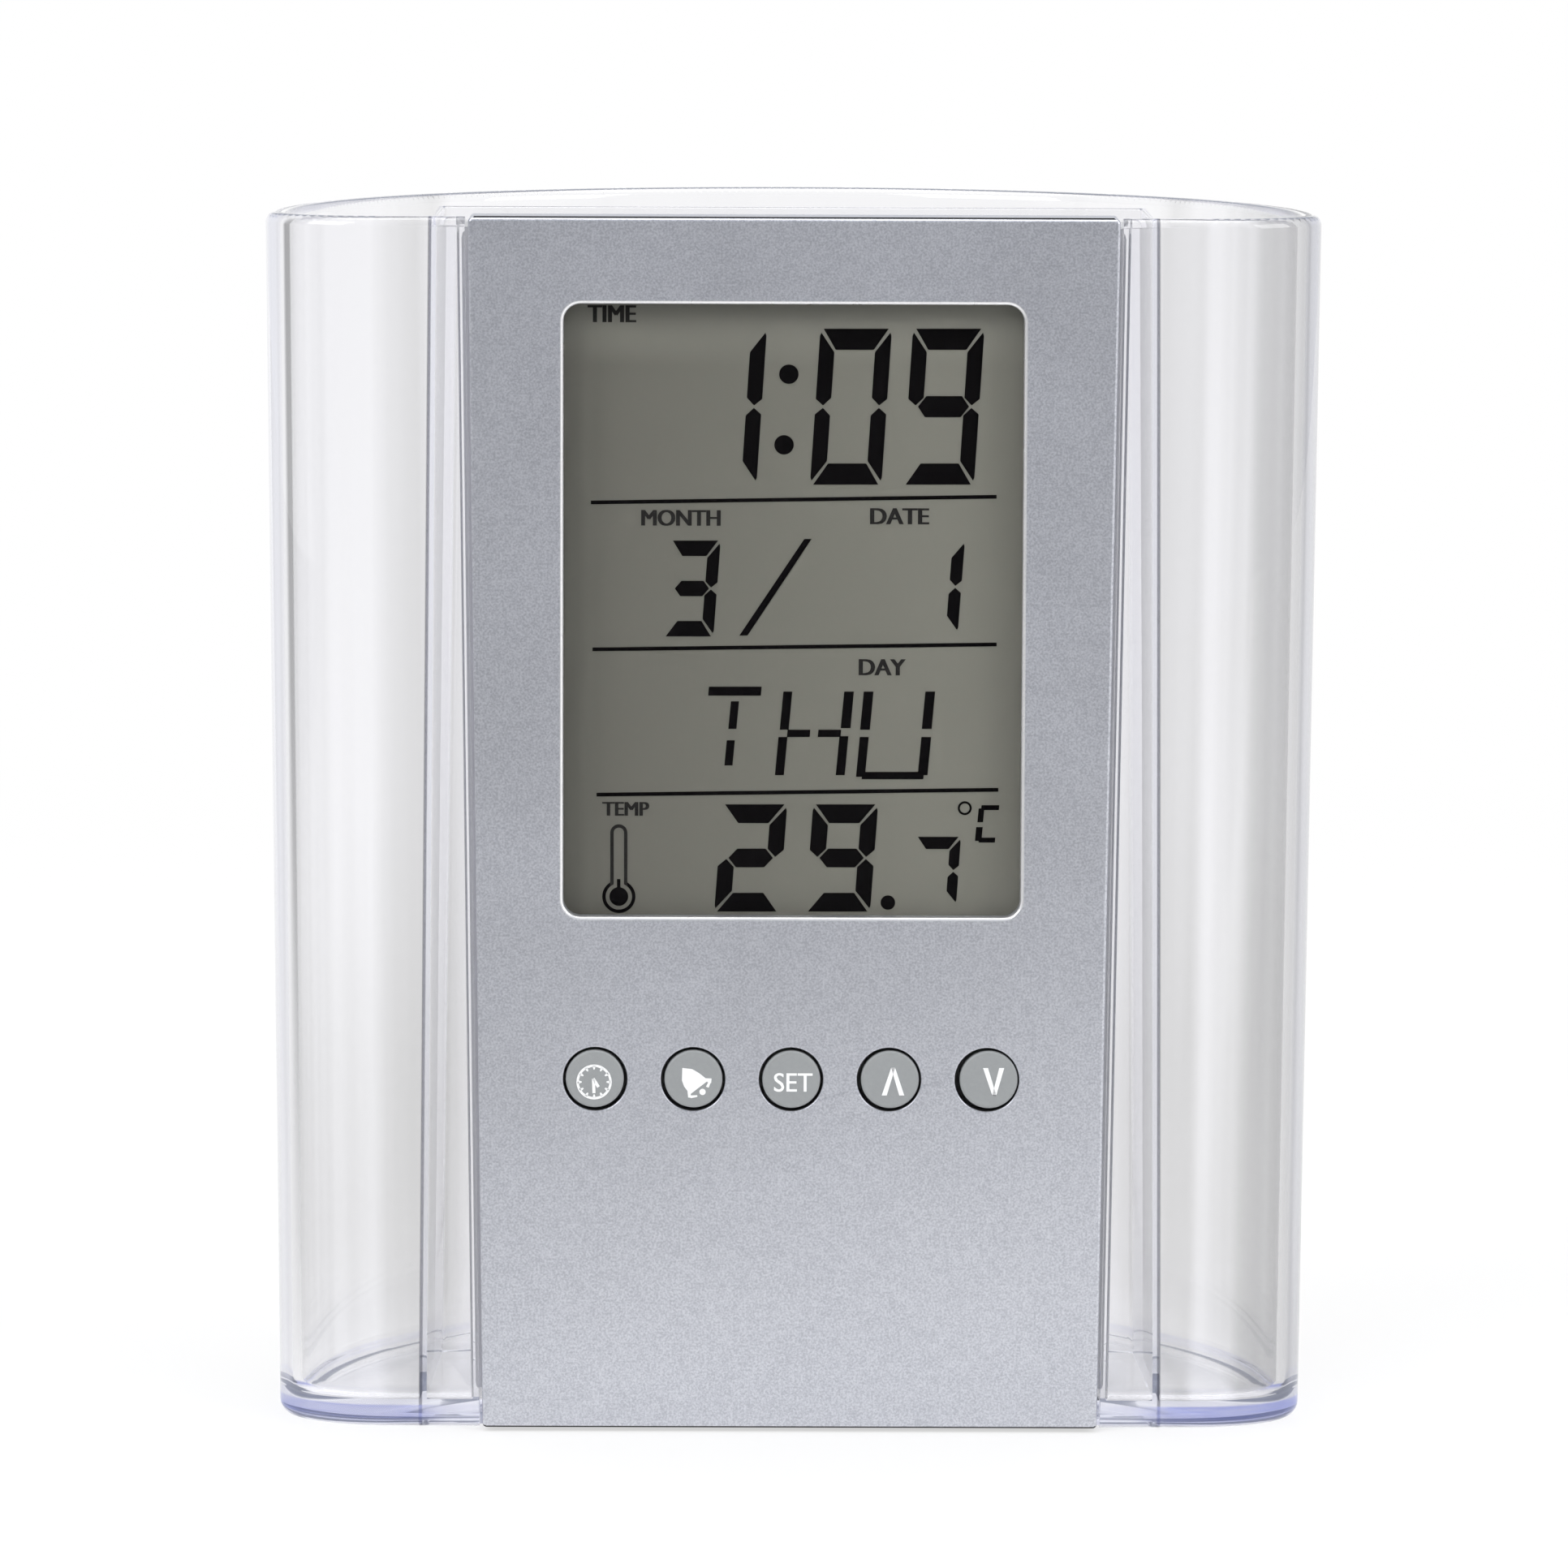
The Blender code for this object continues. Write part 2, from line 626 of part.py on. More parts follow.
def front_bezel(module):
    """Silver front: plate, side walls, window, button holes, screw pillars and board posts."""
    rows = ((0, PANEL_EDGE), (PANEL_EDGE / 3, PANEL_EDGE / 3), (PANEL_EDGE, 0), (PANEL_DEPTH, 0))
    rings = [
        panel_ring(PANEL_FRONT + depth, inset, GAP, CUP_HEIGHT, PANEL_CORNER)
        for depth, inset in rows
    ]
    bezel = ring_solid("front_bezel", rings, silver_paint("front_bezel"), module)
    shade_round(bezel)
    step = block(
        "bezel_step",
        (-CUP_HALF_TOP, WALL_BACK - GAP, -OVERRUN),
        (CUP_HALF_TOP, PANEL_BACK + OVERRUN, SHELL_BOTTOM),
    )
    cavity = tapered_block(
        "bezel_cavity",
        PANEL_INSIDE,
        PANEL_BACK + OVERRUN,
        SHELL_BOTTOM + PANEL_WALL,
        CUP_HEIGHT - PANEL_WALL,
        lambda z: panel_half(z) - PANEL_WALL,
    )
    front, back = PANEL_FRONT - OVERRUN, PANEL_INSIDE + OVERRUN
    places = [(x, BUTTON_Z) for x in button_places()]
    holes = rods("button_holes", places, front, back, BUTTON_DIAMETER / 2 + BUTTON_PLAY,
                 ROUND_STEPS)
    combine(bezel, "DIFFERENCE", step, cavity, window_tool(), holes)
    inside = PANEL_INSIDE - MERGE
    pillars = rods("case_pillars", case_screw_places(), inside, PANEL_BACK, CASE_BOSS_RADIUS)
    posts = rods("board_posts", board_screw_places(), inside, BOARD_FRONT - GAP, POST_RADIUS)
    combine(bezel, "UNION", pillars, posts)
    bores = rods("pillar_bores", case_screw_places(), PANEL_INSIDE + GAP, PANEL_BACK + OVERRUN,
                 CASE_SHANK + GAP)
    post_bores = rods("post_bores", board_screw_places(), PANEL_INSIDE + GAP, BOARD_FRONT,
                      BOARD_SCREW_SHANK + GAP)
    combine(bezel, "DIFFERENCE", bores, post_bores)
    return bezel


def button(name, x, module):
    """One cap with its flange behind the panel and its stem, made round its own axis."""
    cap = BUTTON_DIAMETER / 2
    flange = COVER_FRONT - BUTTON_FRONT
    stem_end = DOME_FRONT - BUTTON_TRAVEL - GAP - BUTTON_FRONT
    profile = (
        (0, cap - BUTTON_EDGE),
        (BUTTON_EDGE, cap),
        (flange, cap),
        (flange, cap + FLANGE_REACH),
        (flange + FLANGE_THICKNESS, cap + FLANGE_REACH),
        (flange + FLANGE_THICKNESS, STEM_DIAMETER / 2),
        (stem_end, STEM_DIAMETER / 2),
    )
    return turned(name, (x, BUTTON_FRONT, BUTTON_Z), ALONG_Y, profile, grey_plastic(name), module)


def keypad(module):
    """Rubber sheet with one dome behind each button."""
    reach = button_places()[-1] + DOME_FOOT_DIAMETER / 2 + OVERRUN
    sheet = block(
        "keypad",
        (-reach, KEYPAD_FRONT, BUTTON_Z - KEYPAD_HALF_HEIGHT),
        (reach, KEYPAD_BACK, BUTTON_Z + KEYPAD_HALF_HEIGHT),
        finish("keypad", (0.55, 0.55, 0.57), 0.7),
        module,
    )
    profile = (
        (0, DOME_TOP_DIAMETER / 2),
        (DOME_HEIGHT / 2, DOME_TOP_DIAMETER / 2),
        (DOME_HEIGHT, DOME_FOOT_DIAMETER / 2),
        (DOME_HEIGHT + KEYPAD_THICKNESS / 2, DOME_FOOT_DIAMETER / 2),
    )
    domes = [
        turned(f"dome_{i}", (x, DOME_FRONT, BUTTON_Z), ALONG_Y, profile, steps=SMALL_ROUND_STEPS)
        for i, x in enumerate(button_places())
    ]
    combine(sheet, "UNION", gather("domes", domes))
    return sheet


def sheet_piece(name, half, low, high, front, thickness, material, module):
    """Flat upright plate of the display stack."""
    return block(name, (-half, front, low), (half, front + thickness, high), material, module)


def contact_strip(name, low, module):
    """Rubber strip that joins the glass to the board."""
    half = GLASS_HALF - STRIP_INSET
    corner, far = (-half, REFLECTOR_FRONT, low), (half, BOARD_FRONT - GAP, low + STRIP_HEIGHT)
    return block(name, corner, far, finish(name, (0.25, 0.12, 0.1), 0.6), module)


def display(module):
    """Cover, polariser, glass, reflector, frame and both contact strips."""
    half = WINDOW_WIDTH / 2 + COVER_LAP
    low, high = WINDOW_BOTTOM - COVER_LAP, WINDOW_TOP + COVER_LAP
    sheet_piece("display_window", half, low, high, COVER_FRONT, COVER_THICKNESS,
                clear_plastic("display_window"), module)
    sheet_piece("lcd_front_polariser", half, low, high, POLARISER_FRONT, POLARISER_THICKNESS,
                finish("lcd_front_polariser", (0.4, 0.39, 0.35), 0.3, 0.0, 0.6), module)
    sheet_piece("lcd_cell", GLASS_HALF, GLASS_BOTTOM, GLASS_TOP, GLASS_FRONT, CELL_GLASS,
                finish("lcd_cell", (0.3, 0.29, 0.26), 0.2), module)
    strip_low = GLASS_BOTTOM + STRIP_EDGE
    strip_high = GLASS_TOP - STRIP_EDGE - STRIP_HEIGHT
    sheet_piece("lcd_reflector", half, strip_low + STRIP_HEIGHT + GAP, strip_high - GAP,
                REFLECTOR_FRONT, POLARISER_THICKNESS,
                finish("lcd_reflector", (0.6, 0.6, 0.56), 0.4, 0.5), module)
    frame = sheet_piece("lcd_frame", GLASS_HALF, GLASS_BOTTOM, GLASS_TOP, FRAME_FRONT,
                        FRAME_THICKNESS, white_plastic("lcd_frame"), module)
    slots = []
    slot_half = GLASS_HALF - STRIP_INSET + GAP
    for i, low in enumerate((strip_low, strip_high)):
        corner = (-slot_half, FRAME_FRONT - OVERRUN, low - GAP)
        far = (slot_half, FRAME_BACK + OVERRUN, low + STRIP_HEIGHT + GAP)
        slots.append(block(f"strip_slot_{i}", corner, far))
    combine(frame, "DIFFERENCE", gather("strip_slots", slots))
    contact_strip("contact_strip_lower", strip_low, module)
    contact_strip("contact_strip_upper", strip_high, module)


def circuit_board(module):
    """Board with a wide middle for its screws and a narrower top and bottom."""
    wide, narrow = BOARD_WIDE_HALF, BOARD_NARROW_HALF
    right = (
        (narrow, BOARD_BOTTOM),
        (narrow, BOARD_WIDE_LOW),
        (wide, BOARD_WIDE_LOW),
        (wide, BOARD_WIDE_HIGH),
        (narrow, BOARD_WIDE_HIGH),
        (narrow, BOARD_TOP),
    )
    outline = list(right) + [(-x, z) for x, z in reversed(right)]
    rings = [[Vector((x, y, z)) for x, z in outline] for y in (BOARD_FRONT, BOARD_BACK)]
    material = finish("circuit_board", (0.05, 0.2, 0.08), 0.5)
    board = ring_solid("circuit_board", rings, material, module)
    bores = rods("board_bores", board_screw_places(), BOARD_FRONT - OVERRUN,
                 BOARD_BACK + OVERRUN, BOARD_SCREW_SHANK + GAP)
    combine(board, "DIFFERENCE", bores)
    return board


def board_parts(module):
    """Chip cover, crystal, capacitor and temperature sensor on the back of the board."""
    seat = BOARD_BACK + GAP
    dome = [(CHIP_HEIGHT * sin(a), CHIP_RADIUS * cos(a)) for a in
            (pi / 2 * i / (FILLET_STEPS + 1) for i in range(FILLET_STEPS + 1))]
    turned("chip_cover", (0, seat, BOARD_BOTTOM + CHIP_RISE), ALONG_Y, dome,
           black_plastic("chip_cover"), module)
    place = (CRYSTAL_OFFSET, seat + CRYSTAL_RADIUS, BOARD_BOTTOM + CHIP_RISE)
    rod = ((0, CRYSTAL_RADIUS), (CRYSTAL_LENGTH, CRYSTAL_RADIUS))
    turned("quartz_crystal", place, ALONG_Z, rod, plated_steel("quartz_crystal"), module,
           SMALL_ROUND_STEPS)
    place = (-CAPACITOR_OFFSET, seat, BOARD_BOTTOM + CAPACITOR_RISE)
    rod = ((0, CAPACITOR_RADIUS), (CAPACITOR_LENGTH, CAPACITOR_RADIUS))
    turned("capacitor", place, ALONG_Y, rod, black_plastic("capacitor"), module,
           SMALL_ROUND_STEPS)
    bead = ((0, SENSOR_RADIUS / 2), (SENSOR_LENGTH / 3, SENSOR_RADIUS),
            (SENSOR_LENGTH * 2 / 3, SENSOR_RADIUS), (SENSOR_LENGTH, SENSOR_RADIUS / 2))
    place = (-SENSOR_OFFSET, seat, BOARD_BOTTOM + SENSOR_RISE)
    turned("temperature_sensor", place, ALONG_Y, bead,
           finish("temperature_sensor", (0.5, 0.25, 0.1), 0.4), module, SMALL_ROUND_STEPS)


def screw(name, x, z, seat, shank, head, head_height, length, module):
    """Pan-head screw driven from behind towards the front, with a slot across its head."""
    profile = (
        (-length, shank / 2),
        (-length + shank, shank),
        (0, shank),
        (0, head),
        (head_height / 2, head),
        (head_height, head - head_height / 2),
    )
    thing = turned(name, (x, seat, z), ALONG_Y, profile, plated_steel(name), module,
                   SMALL_ROUND_STEPS)
    top = seat + head_height
    slot = block(
        f"{name}_slot",
        (x - SLOT_WIDTH / 2, top - SLOT_DEPTH, z - head - OVERRUN),
        (x + SLOT_WIDTH / 2, top + OVERRUN, z + head + OVERRUN),
    )
    combine(thing, "DIFFERENCE", slot)
    return thing


def screws(module):
    """Four case screws and four board screws."""
    seat = SHELL_BACK - CASE_SCREW_SINK + GAP
    for i, (x, z) in enumerate(case_screw_places()):
        screw(f"case_screw_{i + 1}", x, z, seat, CASE_SHANK, CASE_HEAD, CASE_HEAD_HEIGHT,
              CASE_SCREW_LENGTH, module)
    seat = BOARD_BACK + GAP
    for i, (x, z) in enumerate(board_screw_places()):
        screw(f"board_screw_{i + 1}", x, z, seat, BOARD_SCREW_SHANK, BOARD_SCREW_HEAD,
              BOARD_SCREW_HEAD_HEIGHT, BOARD_SCREW_LENGTH, module)


def door_recess_tools():
    """Sunk place for the door, the grooves for its tongues and the bay behind it."""
    recess = block(
        "door_recess",
        (-RECESS_HALF, RECESS_FRONT, SHELL_BOTTOM - OVERRUN),
        (RECESS_HALF, SHELL_BACK + OVERRUN, RECESS_TOP),
    )
    groove = block(
        "door_groove",
        (-GROOVE_HALF, RECESS_FRONT, SHELL_BOTTOM - OVERRUN),
        (GROOVE_HALF, RECESS_FRONT + GROOVE_DEPTH, RECESS_TOP),
    )
    bay = block(
        "battery_bay",
        (-BAY_HALF, BAY_FRONT, BAY_BOTTOM),
        (BAY_HALF, SHELL_BACK + OVERRUN, BAY_TOP),
    )
    return recess, groove, bay


def tail_slot_tool():
    """Slots in the bay's roof for the two solder tails."""
    slots = []
    x = BAY_HALF - GAP - CONTACT_THICKNESS
    for i, y in enumerate(tail_fronts()):
        corner = (x - GAP, y - GAP, BAY_TOP - OVERRUN)
        far = (BAY_HALF, y + TAIL_WIDTH + GAP, ELECTRONICS_BOTTOM + OVERRUN)
        slots.append(block(f"tail_slot_{i}", corner, far))
    return gather("tail_slots", slots)


def tail_fronts():
    """Front edge of each solder tail: the lower contact's, then the upper contact's."""
    return CELL_Y + CONTACT_HALF_DEPTH + GAP, CELL_Y - TAIL_WIDTH / 2


def sound_hole_places():
    """Middle of each sound hole, as x and z."""
    circle = [2 * pi * i / SOUND_HOLE_COUNT for i in range(SOUND_HOLE_COUNT)]
    ring = [(SOUND_HOLE_CIRCLE * cos(a), BUZZER_Z + SOUND_HOLE_CIRCLE * sin(a)) for a in circle]
    return [(0, BUZZER_Z)] + ring


def rear_shell(module):
    """Back housing: battery bay, door recess, screw collars, buzzer seat and sound holes."""
    rows = ((0, 0), (SHELL_DEPTH - SHELL_EDGE, 0), (SHELL_DEPTH, SHELL_EDGE))
    rings = [
        panel_ring(SHELL_FRONT + depth, inset, SHELL_BOTTOM, SHELL_TOP, SHELL_CORNER,
                   SHELL_FLANGE)
        for depth, inset in rows
    ]
    shell = ring_solid("rear_shell", rings, grey_plastic("rear_shell"), module)
    shade_round(shell)
    cavity = tapered_block("shell_cavity", SHELL_FRONT - OVERRUN, SHELL_INSIDE,
                           ELECTRONICS_BOTTOM, SHELL_TOP - SHELL_WALL, shell_inner_half)
    combine(shell, "DIFFERENCE", cavity, *door_recess_tools())
    places = case_screw_places()
    bosses = rods("case_bosses", places, SHELL_FRONT, SHELL_INSIDE + MERGE, CASE_BOSS_RADIUS)
    collar_front = SHELL_BACK - CASE_SCREW_SINK - CASE_BOSS_WALL
    collars = rods("case_collars", places, collar_front, SHELL_INSIDE + MERGE,
                   CASE_COLLAR_RADIUS)
    middle = [(0, BUZZER_Z)]
    seat = rods("buzzer_seat", middle, SHELL_INSIDE - BUZZER_SEAT_HEIGHT, SHELL_INSIDE + MERGE,
                BUZZER_RADIUS + GAP + BUZZER_SEAT_WALL, ROUND_STEPS)
    combine(shell, "UNION", bosses, collars, seat)
    seat_bore = rods("seat_bore", middle, SHELL_INSIDE - BUZZER_SEAT_HEIGHT - OVERRUN,
                     SHELL_INSIDE, BUZZER_RADIUS + GAP, ROUND_STEPS)
    bores = rods("case_bores", places, SHELL_FRONT - OVERRUN, SHELL_BACK, CASE_SHANK + GAP)
    sinks = rods("case_sinks", places, SHELL_BACK - CASE_SCREW_SINK, SHELL_BACK + OVERRUN,
                 CASE_SINK_RADIUS)
    sound = rods("sound_holes", sound_hole_places(), SHELL_INSIDE - OVERRUN,
                 SHELL_BACK + OVERRUN, SOUND_HOLE_RADIUS, SMALL_ROUND_STEPS)
    combine(shell, "DIFFERENCE", seat_bore, bores, sinks, sound, tail_slot_tool())
    return shell


def battery_door(module):
    """Sliding cover with a tongue along each side and grip ridges near its lower edge."""
    back, front = SHELL_BACK, SHELL_BACK - DOOR_THICKNESS
    door = block("battery_door", (-DOOR_HALF, front, DOOR_BOTTOM), (DOOR_HALF, back, DOOR_TOP),
                 grey_plastic("battery_door"), module)
    tongue_half = GROOVE_HALF - GAP
    tongues = block(
        "door_tongues",
        (-tongue_half, front, DOOR_BOTTOM),
        (tongue_half, front + DOOR_TONGUE_THICKNESS - GAP, DOOR_TOP),
    )
    ridges = []
    for i in range(DOOR_RIDGE_COUNT):
        z = DOOR_BOTTOM + DOOR_RIDGE_PITCH * (i + 1)
        corner = (-DOOR_RIDGE_LENGTH / 2, back - MERGE, z)
        far = (DOOR_RIDGE_LENGTH / 2, back + DOOR_RIDGE_HEIGHT, z + DOOR_RIDGE_WIDTH)
        ridges.append(block(f"door_ridge_{i}", corner, far))
    combine(door, "UNION", tongues, gather("door_ridges", ridges))
    return door


def battery_cell(name, z, side, module):
    """Round cell lying along X, with its nub towards the given side."""
    radius = CELL_DIAMETER / 2
    body = CELL_LENGTH - CELL_NUB_LENGTH
    profile = (
        (0, radius - CELL_EDGE),
        (CELL_EDGE, radius),
        (body - CELL_EDGE, radius),
        (body, radius - CELL_EDGE),
        (body, CELL_NUB_RADIUS),
        (CELL_LENGTH, CELL_NUB_RADIUS),
    )
    tail = BAY_HALF - 2 * GAP - CONTACT_THICKNESS - CELL_LENGTH
    turn = ALONG_X if side > 0 else Matrix.Rotation(-pi / 2, 4, "Y")
    return turned(name, (side * tail, CELL_Y, z), turn, profile,
                  finish(name, (0.1, 0.25, 0.45), 0.35, 0.3), module)


def battery_spring(name, z, side, module):
    """Conical spring between a contact plate and the flat end of a cell."""
    plate = BAY_HALF - GAP - CONTACT_THICKNESS
    start = plate - GAP - SPRING_WIRE
    count = round(SPRING_TURNS * SPRING_STEPS)
    path = []
    for i in range(count + 1):
        share = i / count
        angle = 2 * pi * SPRING_TURNS * share
        radius = SPRING_BIG_RADIUS + (SPRING_SMALL_RADIUS - SPRING_BIG_RADIUS) * share
        x = start - (SPRING_LENGTH - 2 * SPRING_WIRE) * share
        path.append(Vector((side * x, CELL_Y + radius * cos(angle), z + radius * sin(angle))))
    return tube(name, path, SPRING_WIRE, plated_steel(name), module)


def contact_plate(name, side, back, low, high, module):
    """Flat plate against one end wall of the bay."""
    far, near = side * (BAY_HALF - GAP), side * (BAY_HALF - GAP - CONTACT_THICKNESS)
    return block(
        name,
        (min(far, near), CELL_Y - CONTACT_HALF_DEPTH, low),
        (max(far, near), back, high),
        plated_steel(name),
        module,
    )


def tailed_contact(name, z, tail_front, module):
    """Contact plate of one cell, with a solder tail up through the bay's roof."""
    half = CONTACT_HALF_HEIGHT
    back = max(tail_front + TAIL_WIDTH, CELL_Y + CONTACT_HALF_DEPTH)
    plate = contact_plate(name, 1, back, z - half, z + half, module)
    near, far = BAY_HALF - GAP - CONTACT_THICKNESS, BAY_HALF - GAP
    tail = block(
        f"{name}_tail",
        (near, tail_front, z + half - 2 * MERGE),
        (far, tail_front + TAIL_WIDTH, TAIL_TOP),
    )
    combine(plate, "UNION", tail)
    return plate


def battery(module):
    """Two cells, their springs and contacts."""
    battery_cell("battery_cell_lower", LOWER_CELL_Z, 1, module)
    battery_cell("battery_cell_upper", UPPER_CELL_Z, -1, module)
    battery_spring("battery_spring_lower", LOWER_CELL_Z, -1, module)
    battery_spring("battery_spring_upper", UPPER_CELL_Z, 1, module)
    contact_plate("battery_bridge", -1, CELL_Y + CONTACT_HALF_DEPTH,
                  LOWER_CELL_Z - CONTACT_HALF_HEIGHT, UPPER_CELL_Z + CONTACT_HALF_HEIGHT,
                  module)
    lower_tail, upper_tail = tail_fronts()
    tailed_contact("battery_contact_plus", LOWER_CELL_Z, lower_tail, module)
    tailed_contact("battery_contact_minus", UPPER_CELL_Z, upper_tail, module)


def lead(name, colour, points, module):
    """Short insulated wire along a smooth route."""
    path = smooth_path([Vector(point) for point in points], LEAD_STEPS)
    return tube(name, path, LEAD_RADIUS, wire_cover(name, colour), module)


def leads(module):
    """Two wires from the bay and two from the buzzer to the board."""
    x = BAY_HALF - 2 * GAP - CONTACT_THICKNESS
    start = TAIL_TOP - LEAD_RADIUS
    end_y = BOARD_BACK + GAP
    end_x = BOARD_NARROW_HALF - POST_RADIUS
    for name, colour, tail, rise in (
        ("lead_plus", (0.6, 0.02, 0.02), tail_fronts()[0], LEAD_HIGH_RISE),
        ("lead_minus", (0.02, 0.02, 0.02), tail_fronts()[1], LEAD_LOW_RISE),
    ):
        y, end = tail + TAIL_WIDTH / 2, BOARD_BOTTOM + rise
        points = ((x, y, start), (x - LEAD_BEND, y, start),
                  (end_x, (2 * y + end_y) / 3, (start + end) / 2),
                  (end_x, end_y + LEAD_BEND, end), (end_x, end_y, end))
        lead(name, colour, points, module)
    disc = SHELL_INSIDE - GAP - BUZZER_PLATE - BUZZER_CERAMIC - GAP
    middle_y = (disc + end_y) / 2
    spot = BUZZER_CERAMIC_RADIUS / 2
    for name, colour, side in (
        ("lead_buzzer_a", (0.6, 0.02, 0.02), -1),
        ("lead_buzzer_b", (0.02, 0.02, 0.02), 1),
    ):
        low_z = BUZZER_Z - BUZZER_RADIUS - CAPACITOR_LENGTH
        points = ((side * spot, disc, BUZZER_Z), (side * spot, middle_y, BUZZER_Z - spot),
                  (side * 2 * spot, middle_y, low_z + spot), (side * 2 * spot, end_y, low_z))
        lead(name, colour, points, module)


def piezo_buzzer(module):
    """Brass disc with its ceramic layer, in the seat behind the sound holes."""
    profile = (
        (0, BUZZER_CERAMIC_RADIUS),
        (BUZZER_CERAMIC, BUZZER_CERAMIC_RADIUS),
        (BUZZER_CERAMIC, BUZZER_RADIUS),
        (BUZZER_CERAMIC + BUZZER_PLATE, BUZZER_RADIUS),
    )
    front = SHELL_INSIDE - GAP - BUZZER_PLATE - BUZZER_CERAMIC
    return turned("piezo_buzzer", (0, front, BUZZER_Z), ALONG_Y, profile,
                  finish("piezo_buzzer", (0.7, 0.5, 0.2), 0.3, 1.0), module)


def motion_axis(name):
    """Empty on the line that the clock module slides along."""
    axis = bpy.data.objects.new(name, None)
    bpy.context.scene.collection.objects.link(axis)
    return axis


def main():
    """Build the whole pen holder clock."""
    remove_start_objects()
    pen_holder()
    module = motion_axis("clock_module_slide")
    front_bezel(module)
    names = ("button_clock", "button_bell", "button_set", "button_up", "button_down")
    for name, x in zip(names, button_places()):
        button(name, x, module)
    keypad(module)
    display(module)
    circuit_board(module)
    board_parts(module)
    rear_shell(module)
    battery_door(module)
    battery(module)
    piezo_buzzer(module)
    leads(module)
    screws(module)


main()
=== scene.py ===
"""Looks of the pen holder clock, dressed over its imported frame.

A clear moulded cup holds a silver clock module with a display, five round
buttons and a grey back. Lengths are in metres in the model's own frame: +Z up,
-Y towards the reader of the clock, +X to that reader's right.
"""

import logging
from contextlib import contextmanager
from dataclasses import dataclass, field
from enum import Enum
from math import cos, hypot, pi, radians, sin
from typing import Callable, Iterator, Sequence

import bmesh
import bpy
from mathutils import Euler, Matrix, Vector


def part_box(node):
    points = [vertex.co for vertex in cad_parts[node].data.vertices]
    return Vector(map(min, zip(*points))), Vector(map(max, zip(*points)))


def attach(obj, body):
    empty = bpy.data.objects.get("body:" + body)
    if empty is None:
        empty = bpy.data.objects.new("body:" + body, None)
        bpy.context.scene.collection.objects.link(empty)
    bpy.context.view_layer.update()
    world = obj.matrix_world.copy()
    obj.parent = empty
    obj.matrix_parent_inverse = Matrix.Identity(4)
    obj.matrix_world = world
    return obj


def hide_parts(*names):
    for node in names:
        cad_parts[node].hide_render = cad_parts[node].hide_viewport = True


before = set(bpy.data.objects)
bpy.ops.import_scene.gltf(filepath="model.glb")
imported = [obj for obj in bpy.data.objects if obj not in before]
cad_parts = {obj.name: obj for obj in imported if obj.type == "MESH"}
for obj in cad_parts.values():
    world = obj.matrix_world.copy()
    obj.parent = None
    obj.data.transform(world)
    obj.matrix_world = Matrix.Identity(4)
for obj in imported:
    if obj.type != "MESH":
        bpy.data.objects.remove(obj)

MM = 0.001
TINY = 2e-5
NARROW = 1e-7
FLAT = radians(0.2)
ROUND = 64
LOG = logging.getLogger("pen_holder_clock")
Point = tuple[float, float]
Triple = tuple[float, float, float]
Box = tuple[float, float, float, float]
Stops = tuple[tuple[float, float], ...]
Socket = bpy.types.NodeSocket
WHITE = (1.0, 1.0, 1.0)
DUST = (0.8, 0.79, 0.77)


class Part(Enum):
    """Kinds of mesh part that an operator can work on."""

    VERT = "verts"
    EDGE = "edges"
    FACE = "faces"


class Join(Enum):
    """Ways to combine two solids."""

    UNION = "UNION"
    DIFFERENCE = "DIFFERENCE"


def lies_at(axis: int, place: float) -> Callable:
    """Make the test that an edge or a face lies at a place along an axis."""
    return lambda part: all(abs(vertex.co[axis] - place) < TINY for vertex in part.verts)


def runs_back(edge: bmesh.types.BMEdge) -> bool:
    """Say whether an edge runs from the front to the back."""
    return abs(edge.verts[0].co.y - edge.verts[1].co.y) > MM


